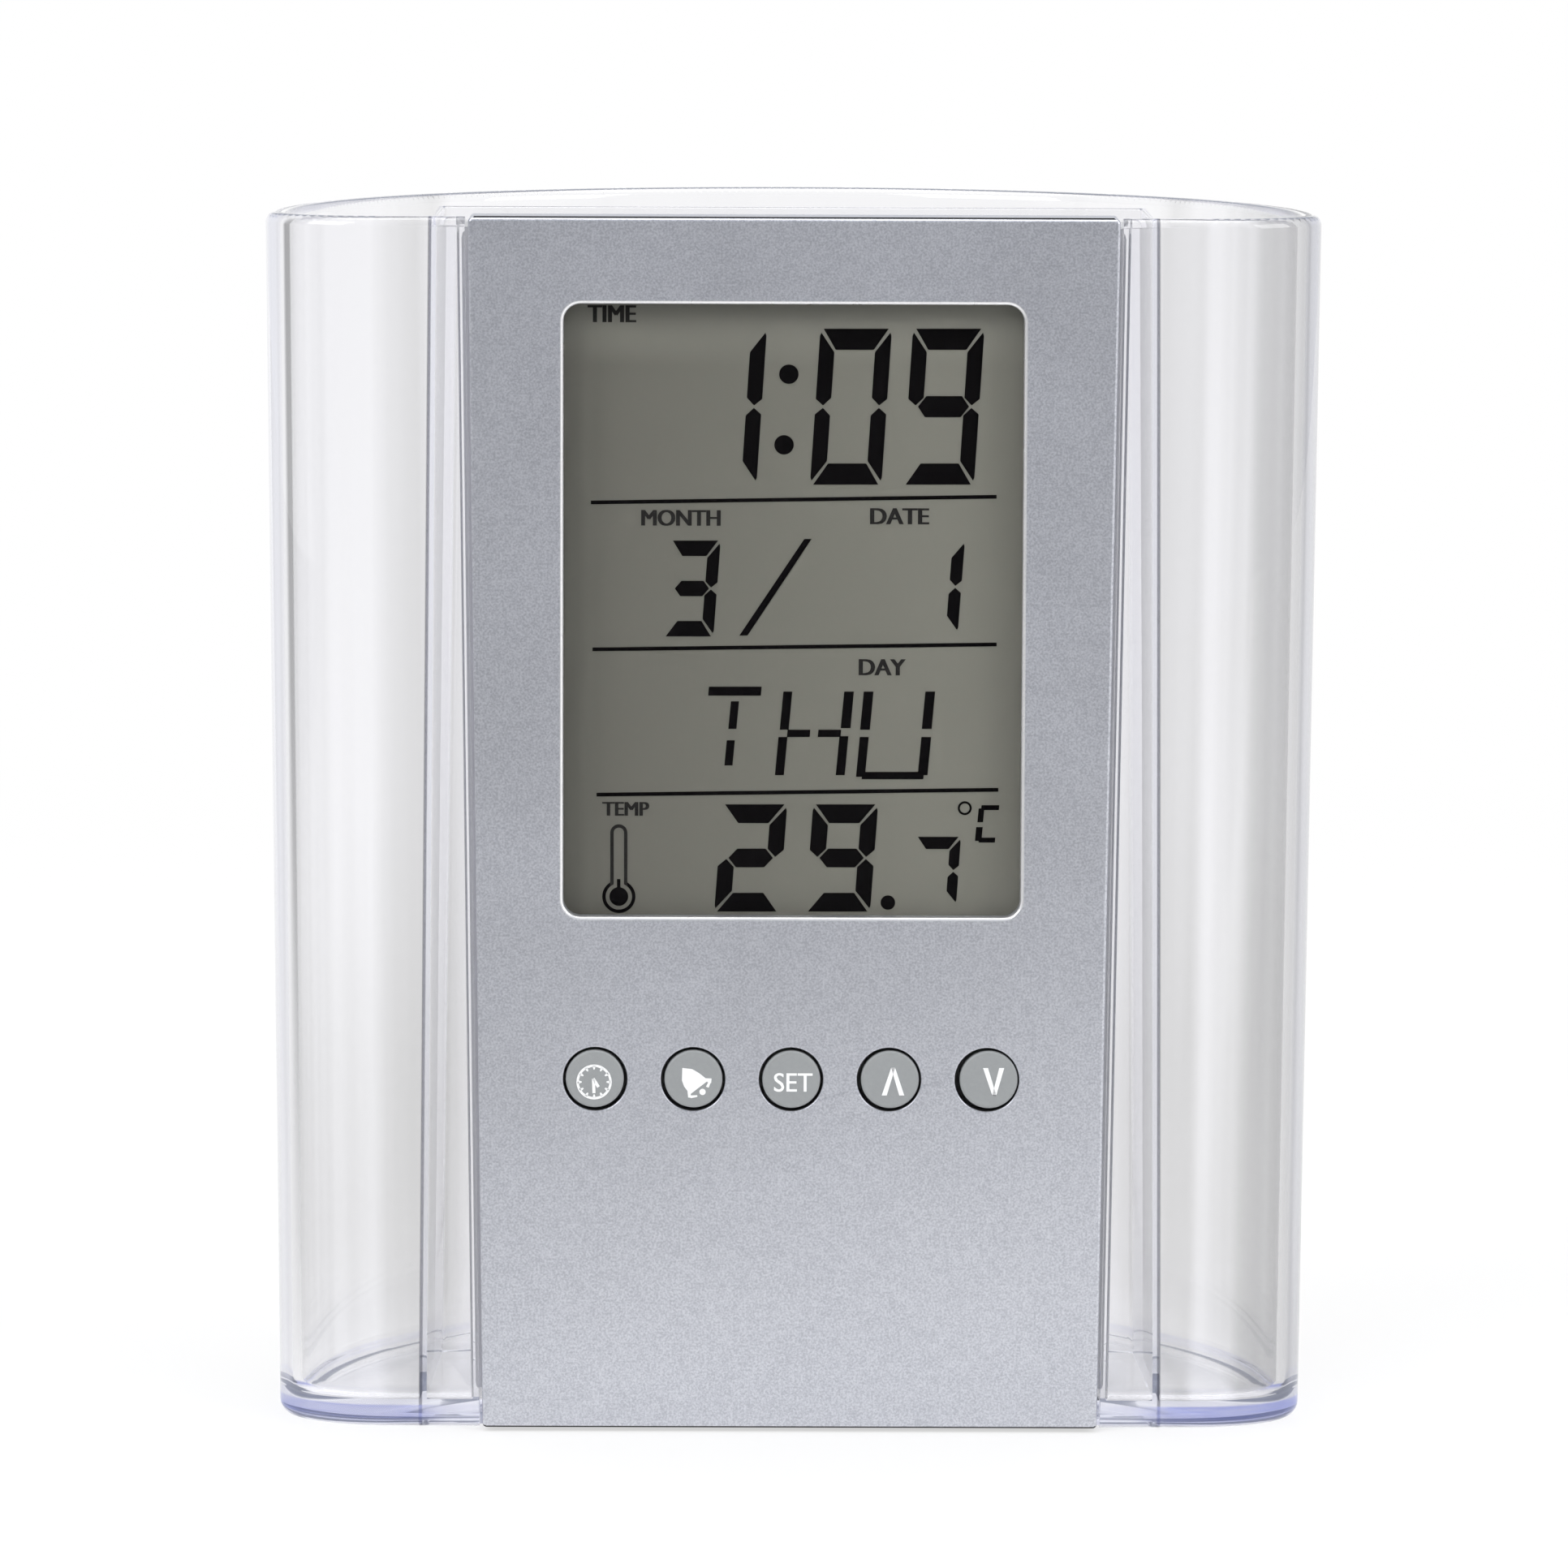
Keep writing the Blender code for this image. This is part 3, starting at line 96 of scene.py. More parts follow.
class Workpiece:
    """One object on the bench, shaped with edit-mode operators."""

    def __init__(self, name: str) -> None:
        """Take the object that an operator has just added.

        Args:
            name: Name of the piece.
        """
        self.thing = bpy.context.object
        self.thing.name = name
        self.thing.data.name = name
        bpy.ops.object.transform_apply(location=True, rotation=True, scale=True)

    @classmethod
    def block(cls, name: str, low: Sequence[float], high: Sequence[float]) -> "Workpiece":
        """Add a cube and size it to two corners.

        Args:
            name: Name of the piece.
            low: Lowest corner.
            high: Highest corner.

        Returns:
            The new piece.
        """
        near, far = Vector(low), Vector(high)
        bpy.ops.object.select_all(action="DESELECT")
        bpy.ops.mesh.primitive_cube_add(size=1)
        bpy.context.object.scale = far - near
        bpy.context.object.location = (near + far) / 2
        return cls(name)

    @classmethod
    def disc(cls, name: str, steps: int, radius: float) -> "Workpiece":
        """Add a filled circle round the origin.

        Args:
            name: Name of the piece.
            steps: How many corners it has.
            radius: Its radius.

        Returns:
            The new piece.
        """
        bpy.ops.object.select_all(action="DESELECT")
        bpy.ops.mesh.primitive_circle_add(vertices=steps, radius=radius, fill_type="NGON")
        return cls(name)

    @classmethod
    def rod(cls, name: str, place: Sequence[float], radius: float, depth: float,
            steps: int) -> "Workpiece":
        """Add a round rod that lies along Y.

        Args:
            name: Name of the piece.
            place: Middle of the rod.
            radius: Its radius.
            depth: Its length.
            steps: How many sides it has.

        Returns:
            The new piece.
        """
        bpy.ops.object.select_all(action="DESELECT")
        bpy.ops.mesh.primitive_cylinder_add(vertices=steps, radius=radius, depth=depth,
                                            location=place, rotation=(pi / 2, 0, 0))
        return cls(name)

    def choose(self) -> None:
        """Select this object alone and make it the active one."""
        bpy.ops.object.select_all(action="DESELECT")
        self.thing.select_set(True)
        bpy.context.view_layer.objects.active = self.thing

    @contextmanager
    def editing(self) -> Iterator[None]:
        """Hold the piece in edit mode."""
        self.choose()
        bpy.ops.object.mode_set(mode="EDIT")
        yield
        bpy.ops.object.mode_set(mode="OBJECT")

    def pick(self, kind: Part, test: Callable) -> None:
        """Select the parts of the mesh that pass a test, and no others.

        Args:
            kind: Which kind of part is tested.
            test: Takes one part and says whether it is wanted.
        """
        bpy.ops.mesh.select_mode(type=kind.name)
        bpy.ops.mesh.select_all(action="DESELECT")
        mesh = bmesh.from_edit_mesh(self.thing.data)
        for part in getattr(mesh, kind.value):
            if test(part):
                part.select_set(True)
        mesh.select_flush_mode()
        bmesh.update_edit_mesh(self.thing.data)

    def pick_all(self) -> None:
        """Select the whole mesh in edit mode."""
        bpy.ops.mesh.select_all(action="SELECT")

    def shift(self, step: Sequence[float]) -> None:
        """Shift what is selected in edit mode."""
        bpy.ops.transform.translate(value=step)

    def size(self, factors: Sequence[float], centre: Sequence[float] = (0, 0, 0)) -> None:
        """Scale what is selected in edit mode about a point."""
        bpy.ops.transform.resize(value=factors, center_override=centre)

    def pull(self, step: Sequence[float]) -> None:
        """Extrude what is selected in edit mode."""
        bpy.ops.mesh.extrude_region_move(TRANSFORM_OT_translate={"value": step})

    def face_outward(self) -> None:
        """Turn every face outward, in edit mode."""
        self.pick_all()
        bpy.ops.mesh.normals_make_consistent(inside=False)

    def bevel(self, test: Callable, width: float, steps: int, clamp: bool = False) -> None:
        """Round some edges, in edit mode.

        Args:
            test: Takes an edge and says whether it is rounded.
            width: How far the rounding reaches.
            steps: How many faces it has across.
            clamp: Whether it stops where two roundings would meet.
        """
        self.pick(Part.EDGE, test)
        bpy.ops.mesh.bevel(offset=width, segments=steps, affect="EDGES", clamp_overlap=clamp)

    def apply(self, kind: str, **settings) -> None:
        """Add a modifier and apply it.

        Args:
            kind: Type of the modifier.
            **settings: Values for its properties.
        """
        modifier = self.thing.modifiers.new(kind.lower(), kind)
        for key, value in settings.items():
            setattr(modifier, key, value)
        self.choose()
        bpy.ops.object.modifier_apply(modifier=modifier.name)

    def combine(self, how: Join, *others: "Workpiece") -> None:
        """Combine other solids into this one, and remove them.

        Args:
            how: Union or difference.
            *others: The other solids.
        """
        for other in others:
            self.apply("BOOLEAN", operation=how.value, solver="EXACT", object=other.thing)
            bpy.data.objects.remove(other.thing)

    def take_in(self, others: Sequence["Workpiece"]) -> None:
        """Join other pieces into this one as they are."""
        self.choose()
        for other in others:
            other.thing.select_set(True)
        bpy.ops.object.join()

    def copy(self, name: str, step: Sequence[float]) -> "Workpiece":
        """Copy the piece with a mesh of its own, and shift the copy.

        Args:
            name: Name of the copy.
            step: How far it is shifted.

        Returns:
            The copy.
        """
        self.choose()
        bpy.ops.object.duplicate(linked=False)
        other = Workpiece(name)
        with other.editing():
            other.pick_all()
            other.shift(step)
        return other

    def smooth(self, angle: float) -> None:
        """Shade the piece smooth up to an angle in degrees."""
        self.choose()
        bpy.ops.object.shade_smooth_by_angle(angle=radians(angle))

    def settle(self, body: str, slot: str, material: bpy.types.Material,
               nodes: Sequence[str] = (), others: Sequence[tuple] = ()) -> None:
        """Dress the finished piece and let it ride on its body.

        Args:
            body: The body that it moves with.
            slot: Name of the record's material slot that it belongs to; not used.
            material: Its finish.
            nodes: CAD nodes that it stands for.
            others: More finishes, each with the test that says which faces take it.
        """
        self.thing.data.materials.clear()
        self.thing.data.materials.append(material)
        for index, (finish, test) in enumerate(others, 1):
            self.thing.data.materials.append(finish)
            for face in self.thing.data.polygons:
                if test(face):
                    face.material_index = index
        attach(self.thing, body)
        if nodes:
            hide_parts(*nodes)
        LOG.info("%s: %d faces on %s", self.thing.name, len(self.thing.data.polygons), body)


def cut_plate(name: str, outline: Sequence[Point], front: float, depth: float) -> Workpiece:
    """Trim a flat plate to a convex outline, and give it its thickness.

    Args:
        name: Name of the piece.
        outline: Corners as x and z, counter-clockwise seen from the front.
        front: The y of its front face.
        depth: Its thickness.

    Returns:
        The new piece.
    """
    xs, zs = [x for x, _ in outline], [z for _, z in outline]
    bpy.ops.object.select_all(action="DESELECT")
    bpy.ops.mesh.primitive_plane_add(size=1, rotation=(pi / 2, 0, 0))
    plate = Workpiece(name)
    with plate.editing():
        plate.pick_all()
        plate.size((max(xs) - min(xs) + 2 * TINY, 1, max(zs) - min(zs) + 2 * TINY))
        plate.shift(((min(xs) + max(xs)) / 2, front, (min(zs) + max(zs)) / 2))
        for i, (x, z) in enumerate(outline):
            next_x, next_z = outline[(i + 1) % len(outline)]
            outward = Vector((next_z - z, 0, x - next_x)).normalized()
            plate.pick_all()
            bpy.ops.mesh.bisect(plane_co=(x, front, z), plane_no=outward, clear_outer=True,
                                threshold=NARROW)
        plate.pick_all()
        plate.pull((0, depth, 0))
        plate.face_outward()
    return plate


def rgba(colour: Sequence[float]) -> tuple[float, ...]:
    """Give a colour its fourth number."""
    return (colour[0], colour[1], colour[2], 1.0)


class Board:
    """Node tree of one material, group or world."""

    def __init__(self, tree: bpy.types.NodeTree) -> None:
        """Take an existing tree."""
        self.tree = tree

    def feed(self, node: bpy.types.Node, inputs: dict) -> None:
        """Set or wire the inputs of a node.

        Args:
            node: The node.
            inputs: A value, or an output socket, for each input by name or number.
        """
        for key, value in inputs.items():
            if isinstance(value, Socket):
                self.tree.links.new(value, node.inputs[key])
            else:
                node.inputs[key].default_value = value

    def add(self, kind: str, inputs: dict | None = None, **settings) -> bpy.types.Node:
        """Add a node, set it up and wire its inputs.

        Args:
            kind: Node type.
            inputs: A value, or an output socket, for each input by name or number.
            **settings: Values for the node's own properties.

        Returns:
            The node.
        """
        node = self.tree.nodes.new(kind)
        for key, value in settings.items():
            setattr(node, key, value)
        self.feed(node, inputs or {})
        return node

    def group(self, tree: bpy.types.NodeTree, inputs: dict) -> Sequence[Socket]:
        """Place a node group with its values, and return its outputs."""
        return self.add("ShaderNodeGroup", inputs, node_tree=tree).outputs

    def math(self, how: str, first: object, second: object = 0.0) -> Socket:
        """Combine two numbers."""
        return self.add("ShaderNodeMath", {0: first, 1: second}, operation=how).outputs[0]

    def product(self, first: object, *others: object) -> Socket:
        """Multiply two or more numbers."""
        for other in others:
            first = self.math("MULTIPLY", first, other)
        return first

    def span(self, value: object, start: object, end: object, low: object = 0.0,
             high: object = 1.0) -> Socket:
        """Turn a span of numbers into another, and hold what lies outside at its ends.

        Args:
            value: The number.
            start: Where the span begins.
            end: Where it ends.
            low: What it is at the start.
            high: What it is at the end.

        Returns:
            The new number's socket.
        """
        return self.add("ShaderNodeMapRange", {"Value": value, "From Min": start,
                                               "From Max": end, "To Min": low,
                                               "To Max": high}).outputs[0]

    def stretch(self, vector: Socket, factors: Sequence[float]) -> Socket:
        """Multiply each part of a vector by its own factor."""
        return self.add("ShaderNodeVectorMath", {0: vector, 1: factors},
                        operation="MULTIPLY").outputs[0]

    def split(self, vector: Socket) -> Sequence[Socket]:
        """Split a vector into its three numbers."""
        return self.add("ShaderNodeSeparateXYZ", {0: vector}).outputs

    def noise(self, vector: Socket, scale: object, detail: float, roughness: float = 0.5,
              distortion: float = 0.0) -> Socket:
        """Make a cloudy number that changes from place to place.

        Args:
            vector: The place.
            scale: How many clouds lie on a metre.
            detail: How many finer layers it has.
            roughness: How strong the finer layers are.
            distortion: How far it is swirled.

        Returns:
            The number's socket.
        """
        return self.add("ShaderNodeTexNoise", {"Vector": vector, "Scale": scale,
                                               "Detail": detail, "Roughness": roughness,
                                               "Distortion": distortion}).outputs[0]

    def ramp(self, share: object, stops: Sequence[tuple]) -> Socket:
        """Turn a number into a colour through a row of stops.

        Args:
            share: The number, or its socket.
            stops: Place and colour of each stop, in rising order.

        Returns:
            The colour's socket.
        """
        node = self.add("ShaderNodeValToRGB", {0: share})
        row = node.color_ramp.elements
        while len(row) < len(stops):
            row.new(0.5)
        for element, (place, colour) in zip(row, stops):
            element.position, element.color = place, rgba(colour)
        return node.outputs[0]

    def blend(self, share: object, first: object, second: object) -> Socket:
        """Blend two colours."""
        return self.add("ShaderNodeMix", {0: share, 6: first, 7: second},
                        data_type="RGBA").outputs[2]

    def bump(self, height: Socket, strength: float, distance: float) -> Socket:
        """Turn a height into a relief."""
        return self.add("ShaderNodeBump", {"Height": height, "Strength": strength,
                                           "Distance": distance}).outputs[0]

    def mix(self, share: Socket, first: Socket, second: Socket) -> Socket:
        """Mix two shaders."""
        return self.add("ShaderNodeMixShader", {0: share, 1: first, 2: second}).outputs[0]

    def backdrop(self, colour: object, strength: float = 1.0) -> Socket:
        """Make the shader of a backdrop."""
        return self.add("ShaderNodeBackground", {0: colour, 1: strength}).outputs[0]


def new_group(name: str, inputs: dict[str, float], outputs: Sequence[str]) -> tuple:
    """Start a shader node group.

    Args:
        name: Name of the group.
        inputs: Default of each number input; a vector input comes first.
        outputs: Names of the number outputs.

    Returns:
        The board, what the group is given, and its output node.
    """
    tree = bpy.data.node_groups.new(name, "ShaderNodeTree")
    tree.interface.new_socket("Vector", in_out="INPUT", socket_type="NodeSocketVector")
    for key, value in inputs.items():
        socket = tree.interface.new_socket(key, in_out="INPUT", socket_type="NodeSocketFloat")
        socket.default_value = value
    for key in outputs:
        tree.interface.new_socket(key, in_out="OUTPUT", socket_type="NodeSocketFloat")
    board = Board(tree)
    return board, board.add("NodeGroupInput").outputs, board.add("NodeGroupOutput")


class Effects:
    """Surface effects that several finishes share, each built once."""

    def __init__(self) -> None:
        """Build the groups."""
        self.flakes = self.build_flakes()
        self.grain = self.build_grain()
        self.handling = self.build_handling()
        self.dust = self.build_dust()

    def build_flakes(self) -> bpy.types.NodeTree:
        """Fine flakes of a metallic paint over broader clouds."""
        board, given, out = new_group("paint_flakes", {"Scale": 3000.0, "Clouds": 250.0},
                                      ("Mask", "Height"))
        fine = board.noise(given["Vector"], given["Scale"], 2.0, 0.6)
        wide = board.noise(given["Vector"], given["Clouds"], 3.0, 0.55)
        both = board.math("ADD", board.product(fine, 0.78), board.product(wide, 0.22))
        board.feed(out, {"Mask": board.span(both, 0.38, 0.62), "Height": both})
        return board.tree

    def build_grain(self) -> bpy.types.NodeTree:
        """Even pitting of a spark-eroded mould."""
        board, given, out = new_group("mould_grain", {"Scale": 2500.0}, ("Height", "Mask"))
        cells = board.add("ShaderNodeTexVoronoi", {"Vector": given["Vector"],
                                                   "Scale": given["Scale"]},
                          feature="SMOOTH_F1").outputs[0]
        clouds = board.noise(given["Vector"], given["Scale"], 2.0)
        board.feed(out, {"Height": board.product(cells, clouds), "Mask": clouds})
        return board.tree

    def build_handling(self) -> bpy.types.NodeTree:
        """Faint smears and fine scratches that change the gloss."""
        board, given, out = new_group("handling", {"Low": 0.3, "High": 0.4, "Scale": 60.0},
                                      ("Roughness",))
        smears = board.noise(given["Vector"], given["Scale"], 4.0, distortion=0.8)
        board.feed(out, {"Roughness": board.span(smears, 0.35, 0.7, given["Low"],
                                                 given["High"])})
        return board.tree

    def build_dust(self) -> bpy.types.NodeTree:
        """Thin dust that settles on faces that look up."""
        board, given, out = new_group("settled_dust", {"Amount": 0.1, "Scale": 900.0},
                                      ("Mask",))
        normal = board.add("ShaderNodeNewGeometry").outputs["Normal"]
        flat = board.span(board.split(normal)[2], 0.55, 1.0)
        specks = board.noise(given["Vector"], given["Scale"], 5.0)
        board.feed(out, {"Mask": board.product(flat, specks, given["Amount"])})
        return board.tree


EFFECTS = Effects()


@dataclass(frozen=True)
class Finish:
    """Start of every finish: a material with its Principled shader and a place vector."""

    name: str

    def begin(self) -> tuple[bpy.types.Material, Board, bpy.types.Node, Socket]:
        """Make the empty material.

        Returns:
            The material, its board, the Principled node and the Object coordinates.
        """
        material = bpy.data.materials.new(self.name)
        material.use_nodes = True
        board = Board(material.node_tree)
        shader = board.tree.nodes["Principled BSDF"]
        place = board.add("ShaderNodeMapping",
                          {0: board.add("ShaderNodeTexCoord").outputs["Object"]})
        return material, board, shader, place.outputs[0]

    def handled(self, board: Board, place: Socket, gloss: Point, scale: float = 60.0) -> Socket:
        """Let smears and fine scratches move the roughness.

        Args:
            board: The material's board.
            place: Object coordinates.
            gloss: Least and greatest roughness.
            scale: How many smears lie on a metre.

        Returns:
            The roughness.
        """
        return board.group(EFFECTS.handling, {"Vector": place, "Low": gloss[0],
                                              "High": gloss[1], "Scale": scale})[0]

    def dusted(self, board: Board, place: Socket, colour: Socket, amount: float) -> Socket:
        """Lay thin dust over a colour."""
        dust = board.group(EFFECTS.dust, {"Vector": place, "Amount": amount})[0]
        return board.blend(dust, colour, rgba(DUST))

    def lit_through(self, board: Board, shader: bpy.types.Node, tone: Triple) -> Socket:
        """Let lamps shine through a clear shader.

        Args:
            board: The material's board.
            shader: The clear shader.
            tone: What is left of a lamp's light behind it.

        Returns:
            The shader's new socket.
        """
        open_way = board.add("ShaderNodeBsdfTransparent", {0: rgba(tone)})
        path = board.add("ShaderNodeLightPath")
        return board.mix(path.outputs["Is Shadow Ray"], shader.outputs[0],
                         open_way.outputs[0])


@dataclass(frozen=True)
class ClearPlastic(Finish):
    """Clear moulded plastic: faint upright flow lines, painted bands of highlight and shade,
    painted shade at its sides, lower down and along the partition lines, a little painted light
    near its rim, and bluer through its thick base.
    """

    clear: Triple = (0.985, 0.983, 0.990)
    # Darker tone that the stray streaks blend towards, and the painted bands and painted shade as
    # well.
    cloudy: Triple = (0.78, 0.778, 0.776)
    flow: Triple = (210.0, 210.0, 1.1)
    stray: Point = (-0.14, 0.28)
    # Painted highlights and shade: fixed bright and dark bands across the cup, standing in for its
    # refractions.
    painted_light_bands: Stops = (
        (-46.0, 0.90), (-44.4, 0.90), (-43.8, 0.50), (-42.8, 0.90), (-37.0, 1.0),
        (-36.0, 0.60), (-32.6, 0.16), (-31.0, 1.0), (31.0, 0.95), (33.0, 0.80),
        (35.4, 0.18), (36.4, 1.0), (39.3, 1.0), (40.4, 0.15), (43.4, 0.0), (44.8, 0.05))
    # Painted shade by height: darker through the lower half of the cup, a little lighter near its
    # rim.
    painted_height_shade: Stops = (
        (0.0, 0.0), (4.0, 0.0), (8.0, -0.34), (15.0, -0.48), (22.0, -0.43), (30.0, -0.36),
        (43.0, -0.15), (55.0, 0.0), (71.0, 0.05), (92.0, 0.12), (106.4, 0.15))
    painted_height_shade_range: Point = (-0.5, 0.15)
    # Painted shade: the cup's two sides darkened where its walls turn away.
    painted_side_shade: Stops = (
        (-45.2, 0.0), (-44.6, 0.25), (-43.8, 0.20), (-43.2, 0.0), (42.5, 0.0), (43.3, 0.40),
        (44.0, 0.80), (44.8, 0.75), (45.4, 0.25), (46.0, 0.20))
    painted_side_shade_tone: Triple = (0.50, 0.50, 0.505)
    panel_side: Point = (30.0 * MM, 33.5 * MM)
    painted_height_shade_beside_panel: float = 0.6
    tint_beside_panel: float = 0.2
    # Painted shade: a dark line where each partition meets the front wall.
    junction_shade_at: float = 31.45 * MM
    junction_shade_half: float = 0.20 * MM
    junction_shade_back: float = -21.0 * MM
    junction_shade_tone: Triple = (0.16, 0.16, 0.18)
    base: Triple = (0.19, 0.23, 0.70)
    base_top: Point = (2.18 * MM, 2.0 * MM)
    base_front: Triple = (-8.0 * MM, -15.0 * MM, 0.25)
    base_tilt: Point = (0.95, 0.35)
    rippled: Triple = (0.38, 0.58, 0.65)
    ripples: Triple = (70.0, 70.0, 1500.0)
    depth_tint: Triple = (0.10, 0.18, 0.60)
    density: float = 5.0
    index: float = 1.49
    gloss: Point = (0.0, 0.03)
    shade: Triple = (0.93, 0.93, 0.95)
    spent_tone: Triple = (0.97, 0.97, 0.975)
    most_mirrored: float = 2.5
    most_turns: float = 9.5

    def row(self, board: Board, across: Socket, stops: Stops) -> Socket:
        """Read a row of tones across the cup, whose stops are in millimetres."""
        half = ClearCup().half_width
        share = board.span(across, -half, half)
        return board.ramp(share, [((x * MM + half) / (2 * half), [tone] * 3)
                                  for x, tone in stops])

    def clearness_and_painted_shade(self, board: Board, place: Socket, across: Socket, up: Socket,
                  apart: Socket) -> Socket:
        """Say how clear the plastic is, with painted bands of highlight and shade, stray streaks,
        and painted shade lower down with a little painted light near the rim.

        Args:
            board: The material's board.
            place: Object coordinates.
            across: Place between the two sides, the draft taken out.
            up: Height as a share of the cup's.
            apart: Distance from the middle.

        Returns:
            A share, 1 where it is clear.
        """
        noise = board.noise(board.stretch(place, self.flow), 1.0, 2.5, 0.55)
        stray = board.span(noise, 0.35, 0.65, *self.stray)
        least, most = self.painted_height_shade_range
        painted_height_ramp = board.ramp(up, [(z * MM / ClearCup().height, [(step - least) / (most - least)] * 3)
                                for z, step in self.painted_height_shade])
        lobe = board.span(apart, *self.panel_side, self.painted_height_shade_beside_panel)
        # Painted shade lower down and a little painted light near the rim, weaker beside the
        # panel.
        painted_height_shade = board.product(board.span(painted_height_ramp, 0.0, 1.0, least, most), lobe)
        # Painted bands of highlight and shade across the cup.
        painted_band = self.row(board, across, self.painted_light_bands)
        share = board.math("ADD", board.math("ADD", painted_band, stray), painted_height_shade)
        return board.add("ShaderNodeClamp", {"Value": share}).outputs[0]

    def painted_junction_shade(self, board: Board, apart: Socket, deep: Socket, level: Socket) -> Socket:
        """Paint a dark line of shade along the leaning line where each partition meets the front
        wall.
        """
        cup = ClearCup()
        moved = board.math("ADD", apart, board.product(level, cup.lean / cup.height))
        off = board.math("ABSOLUTE", board.math("SUBTRACT", moved, self.junction_shade_at + cup.lean))
        line = board.span(off, self.junction_shade_half, self.junction_shade_half / 2)
        return board.product(line, board.math("LESS_THAN", deep, self.junction_shade_back))

    def base_share(self, board: Board, place: Socket, apart: Socket, deep: Socket,
                   level: Socket) -> Socket:
        """Mark the upright faces of the base, most at the front of the two lobes."""
        normal = board.add("ShaderNodeTexCoord").outputs["Normal"]
        tilt = board.math("ABSOLUTE", board.split(normal)[2])
        waves = board.noise(board.stretch(place, self.ripples), 1.0, 2.0)
        return board.product(board.span(level, *self.base_top), board.span(tilt, *self.base_tilt),
                             board.span(waves, *self.rippled),
                             board.span(deep, *self.base_front),
                             board.span(apart, *self.panel_side, self.tint_beside_panel))

    def colour(self, board: Board, place: Socket) -> Socket:
        """Wire the colour: clearness with its painted bands and shade, painted shade at the sides
        and along the partition lines, and the tone of the base.

        Args:
            board: The material's board.
            place: Object coordinates.

        Returns:
            The colour.
        """
        cup = ClearCup()
        across, deep, level = board.split(place)
        apart = board.math("ABSOLUTE", across)
        up = board.span(level, 0.0, cup.height)
        narrow = board.span(up, 0.0, 1.0, 1 - cup.draft / cup.half_width)
        even = board.math("DIVIDE", across, narrow)
        clear = self.clearness_and_painted_shade(board, place, even, up, apart)
        colour = board.blend(clear, rgba(self.cloudy), rgba(self.clear))
        for share, tone in (
                (self.row(board, even, self.painted_side_shade), self.painted_side_shade_tone),
                (self.painted_junction_shade(board, apart, deep, level), self.junction_shade_tone),
                (self.base_share(board, place, apart, deep, level), self.base)):
            colour = board.blend(share, colour, rgba(tone))
        return colour

    def build(self) -> bpy.types.Material:
        """Build the material, which sends spent rays straight on."""
        material, board, shader, place = self.begin()
        colour = self.colour(board, place)
        board.feed(shader, {"Base Color": colour, "Transmission Weight": 1.0,
                            "IOR": self.index,
                            "Roughness": self.handled(board, place, self.gloss, 45.0)})
        lit = self.lit_through(board, shader, self.shade)
        path = board.add("ShaderNodeLightPath").outputs
        spent = board.math("MAXIMUM",
                           board.math("GREATER_THAN", path["Glossy Depth"], self.most_mirrored),
                           board.math("GREATER_THAN", path["Ray Depth"], self.most_turns))
        once = board.add("ShaderNodeGamma", {0: colour, 1: 0.5}).outputs[0]
        straight = board.add("ShaderNodeBsdfTransparent",
                             {0: board.stretch(once, self.spent_tone)})
        depth = board.add("ShaderNodeVolumeAbsorption", {"Color": rgba(self.depth_tint),
                                                         "Density": self.density})
        board.feed(board.tree.nodes["Material Output"],
                   {"Surface": board.mix(spent, lit, straight.outputs[0]),
                    "Volume": depth.outputs[0]})
        return material


@dataclass(frozen=True)
class ClearPane(Finish):
    """Clear flat cover of the display."""

    colour: Triple = (0.97, 0.98, 0.97)
    index: float = 1.09
    gloss: Point = (-0.02, 0.02)
    shade: Triple = (0.95, 0.95, 0.95)

    def build(self) -> bpy.types.Material:
        """Build the material."""
        material, board, shader, place = self.begin()
        board.feed(shader, {"Base Color": rgba(self.colour), "Transmission Weight": 1.0,
                            "IOR": self.index,
                            "Roughness": self.handled(board, place, self.gloss, 80.0)})
        board.feed(board.tree.nodes["Material Output"],
                   {"Surface": self.lit_through(board, shader, self.shade)})
        return material


@dataclass(frozen=True)
class SilverPaint(Finish):
    """Silver paint with fine flakes, mottled as sprayed on plastic."""

    dark: Triple = (0.482, 0.495, 0.545)
    light: Triple = (0.682, 0.695, 0.745)
    roughness: Point = (0.30, 0.36)
    flakes: float = 5200.0
    clouds: float = 1700.0
    metal: float = 0.70
    relief: float = 0.010 * MM
    dust: float = 0.12

    def build(self) -> bpy.types.Material:
        """Build the material."""
        material, board, shader, place = self.begin()
        flakes = board.group(EFFECTS.flakes, {"Vector": place, "Scale": self.flakes,
                                              "Clouds": self.clouds})
        colour = board.blend(flakes["Mask"], rgba(self.dark), rgba(self.light))
        board.feed(shader, {"Base Color": self.dusted(board, place, colour, self.dust),
                            "Roughness": self.handled(board, place, self.roughness, 70.0),
                            "Normal": board.bump(flakes["Height"], 0.35, self.relief),
                            "Metallic": self.metal})
        return material


@dataclass(frozen=True)
class Moulded(Finish):
    """Moulded plastic, rubber or lacquer with a fine grain."""

    colour: Triple
    roughness: Point = (0.4, 0.5)
    grain: float = 2600.0
    relief: float = 0.012 * MM
    variation: float = 0.10
    dust: float = 0.10
    specular: float = 0.5

    def build(self) -> bpy.types.Material:
        """Build the material."""
        material, board, shader, place = self.begin()
        grain = board.group(EFFECTS.grain, {"Vector": place, "Scale": self.grain})
        pale = [min(1.0, part * (1 + self.variation)) for part in self.colour]
        deep = [part * (1 - self.variation) for part in self.colour]
        colour = board.blend(grain["Mask"], rgba(deep), rgba(pale))
        board.feed(shader, {"Base Color": self.dusted(board, place, colour, self.dust),
                            "Roughness": self.handled(board, place, self.roughness),
                            "Normal": board.bump(grain["Height"], 0.5, self.relief),
                            "Specular IOR Level": self.specular})
        return material


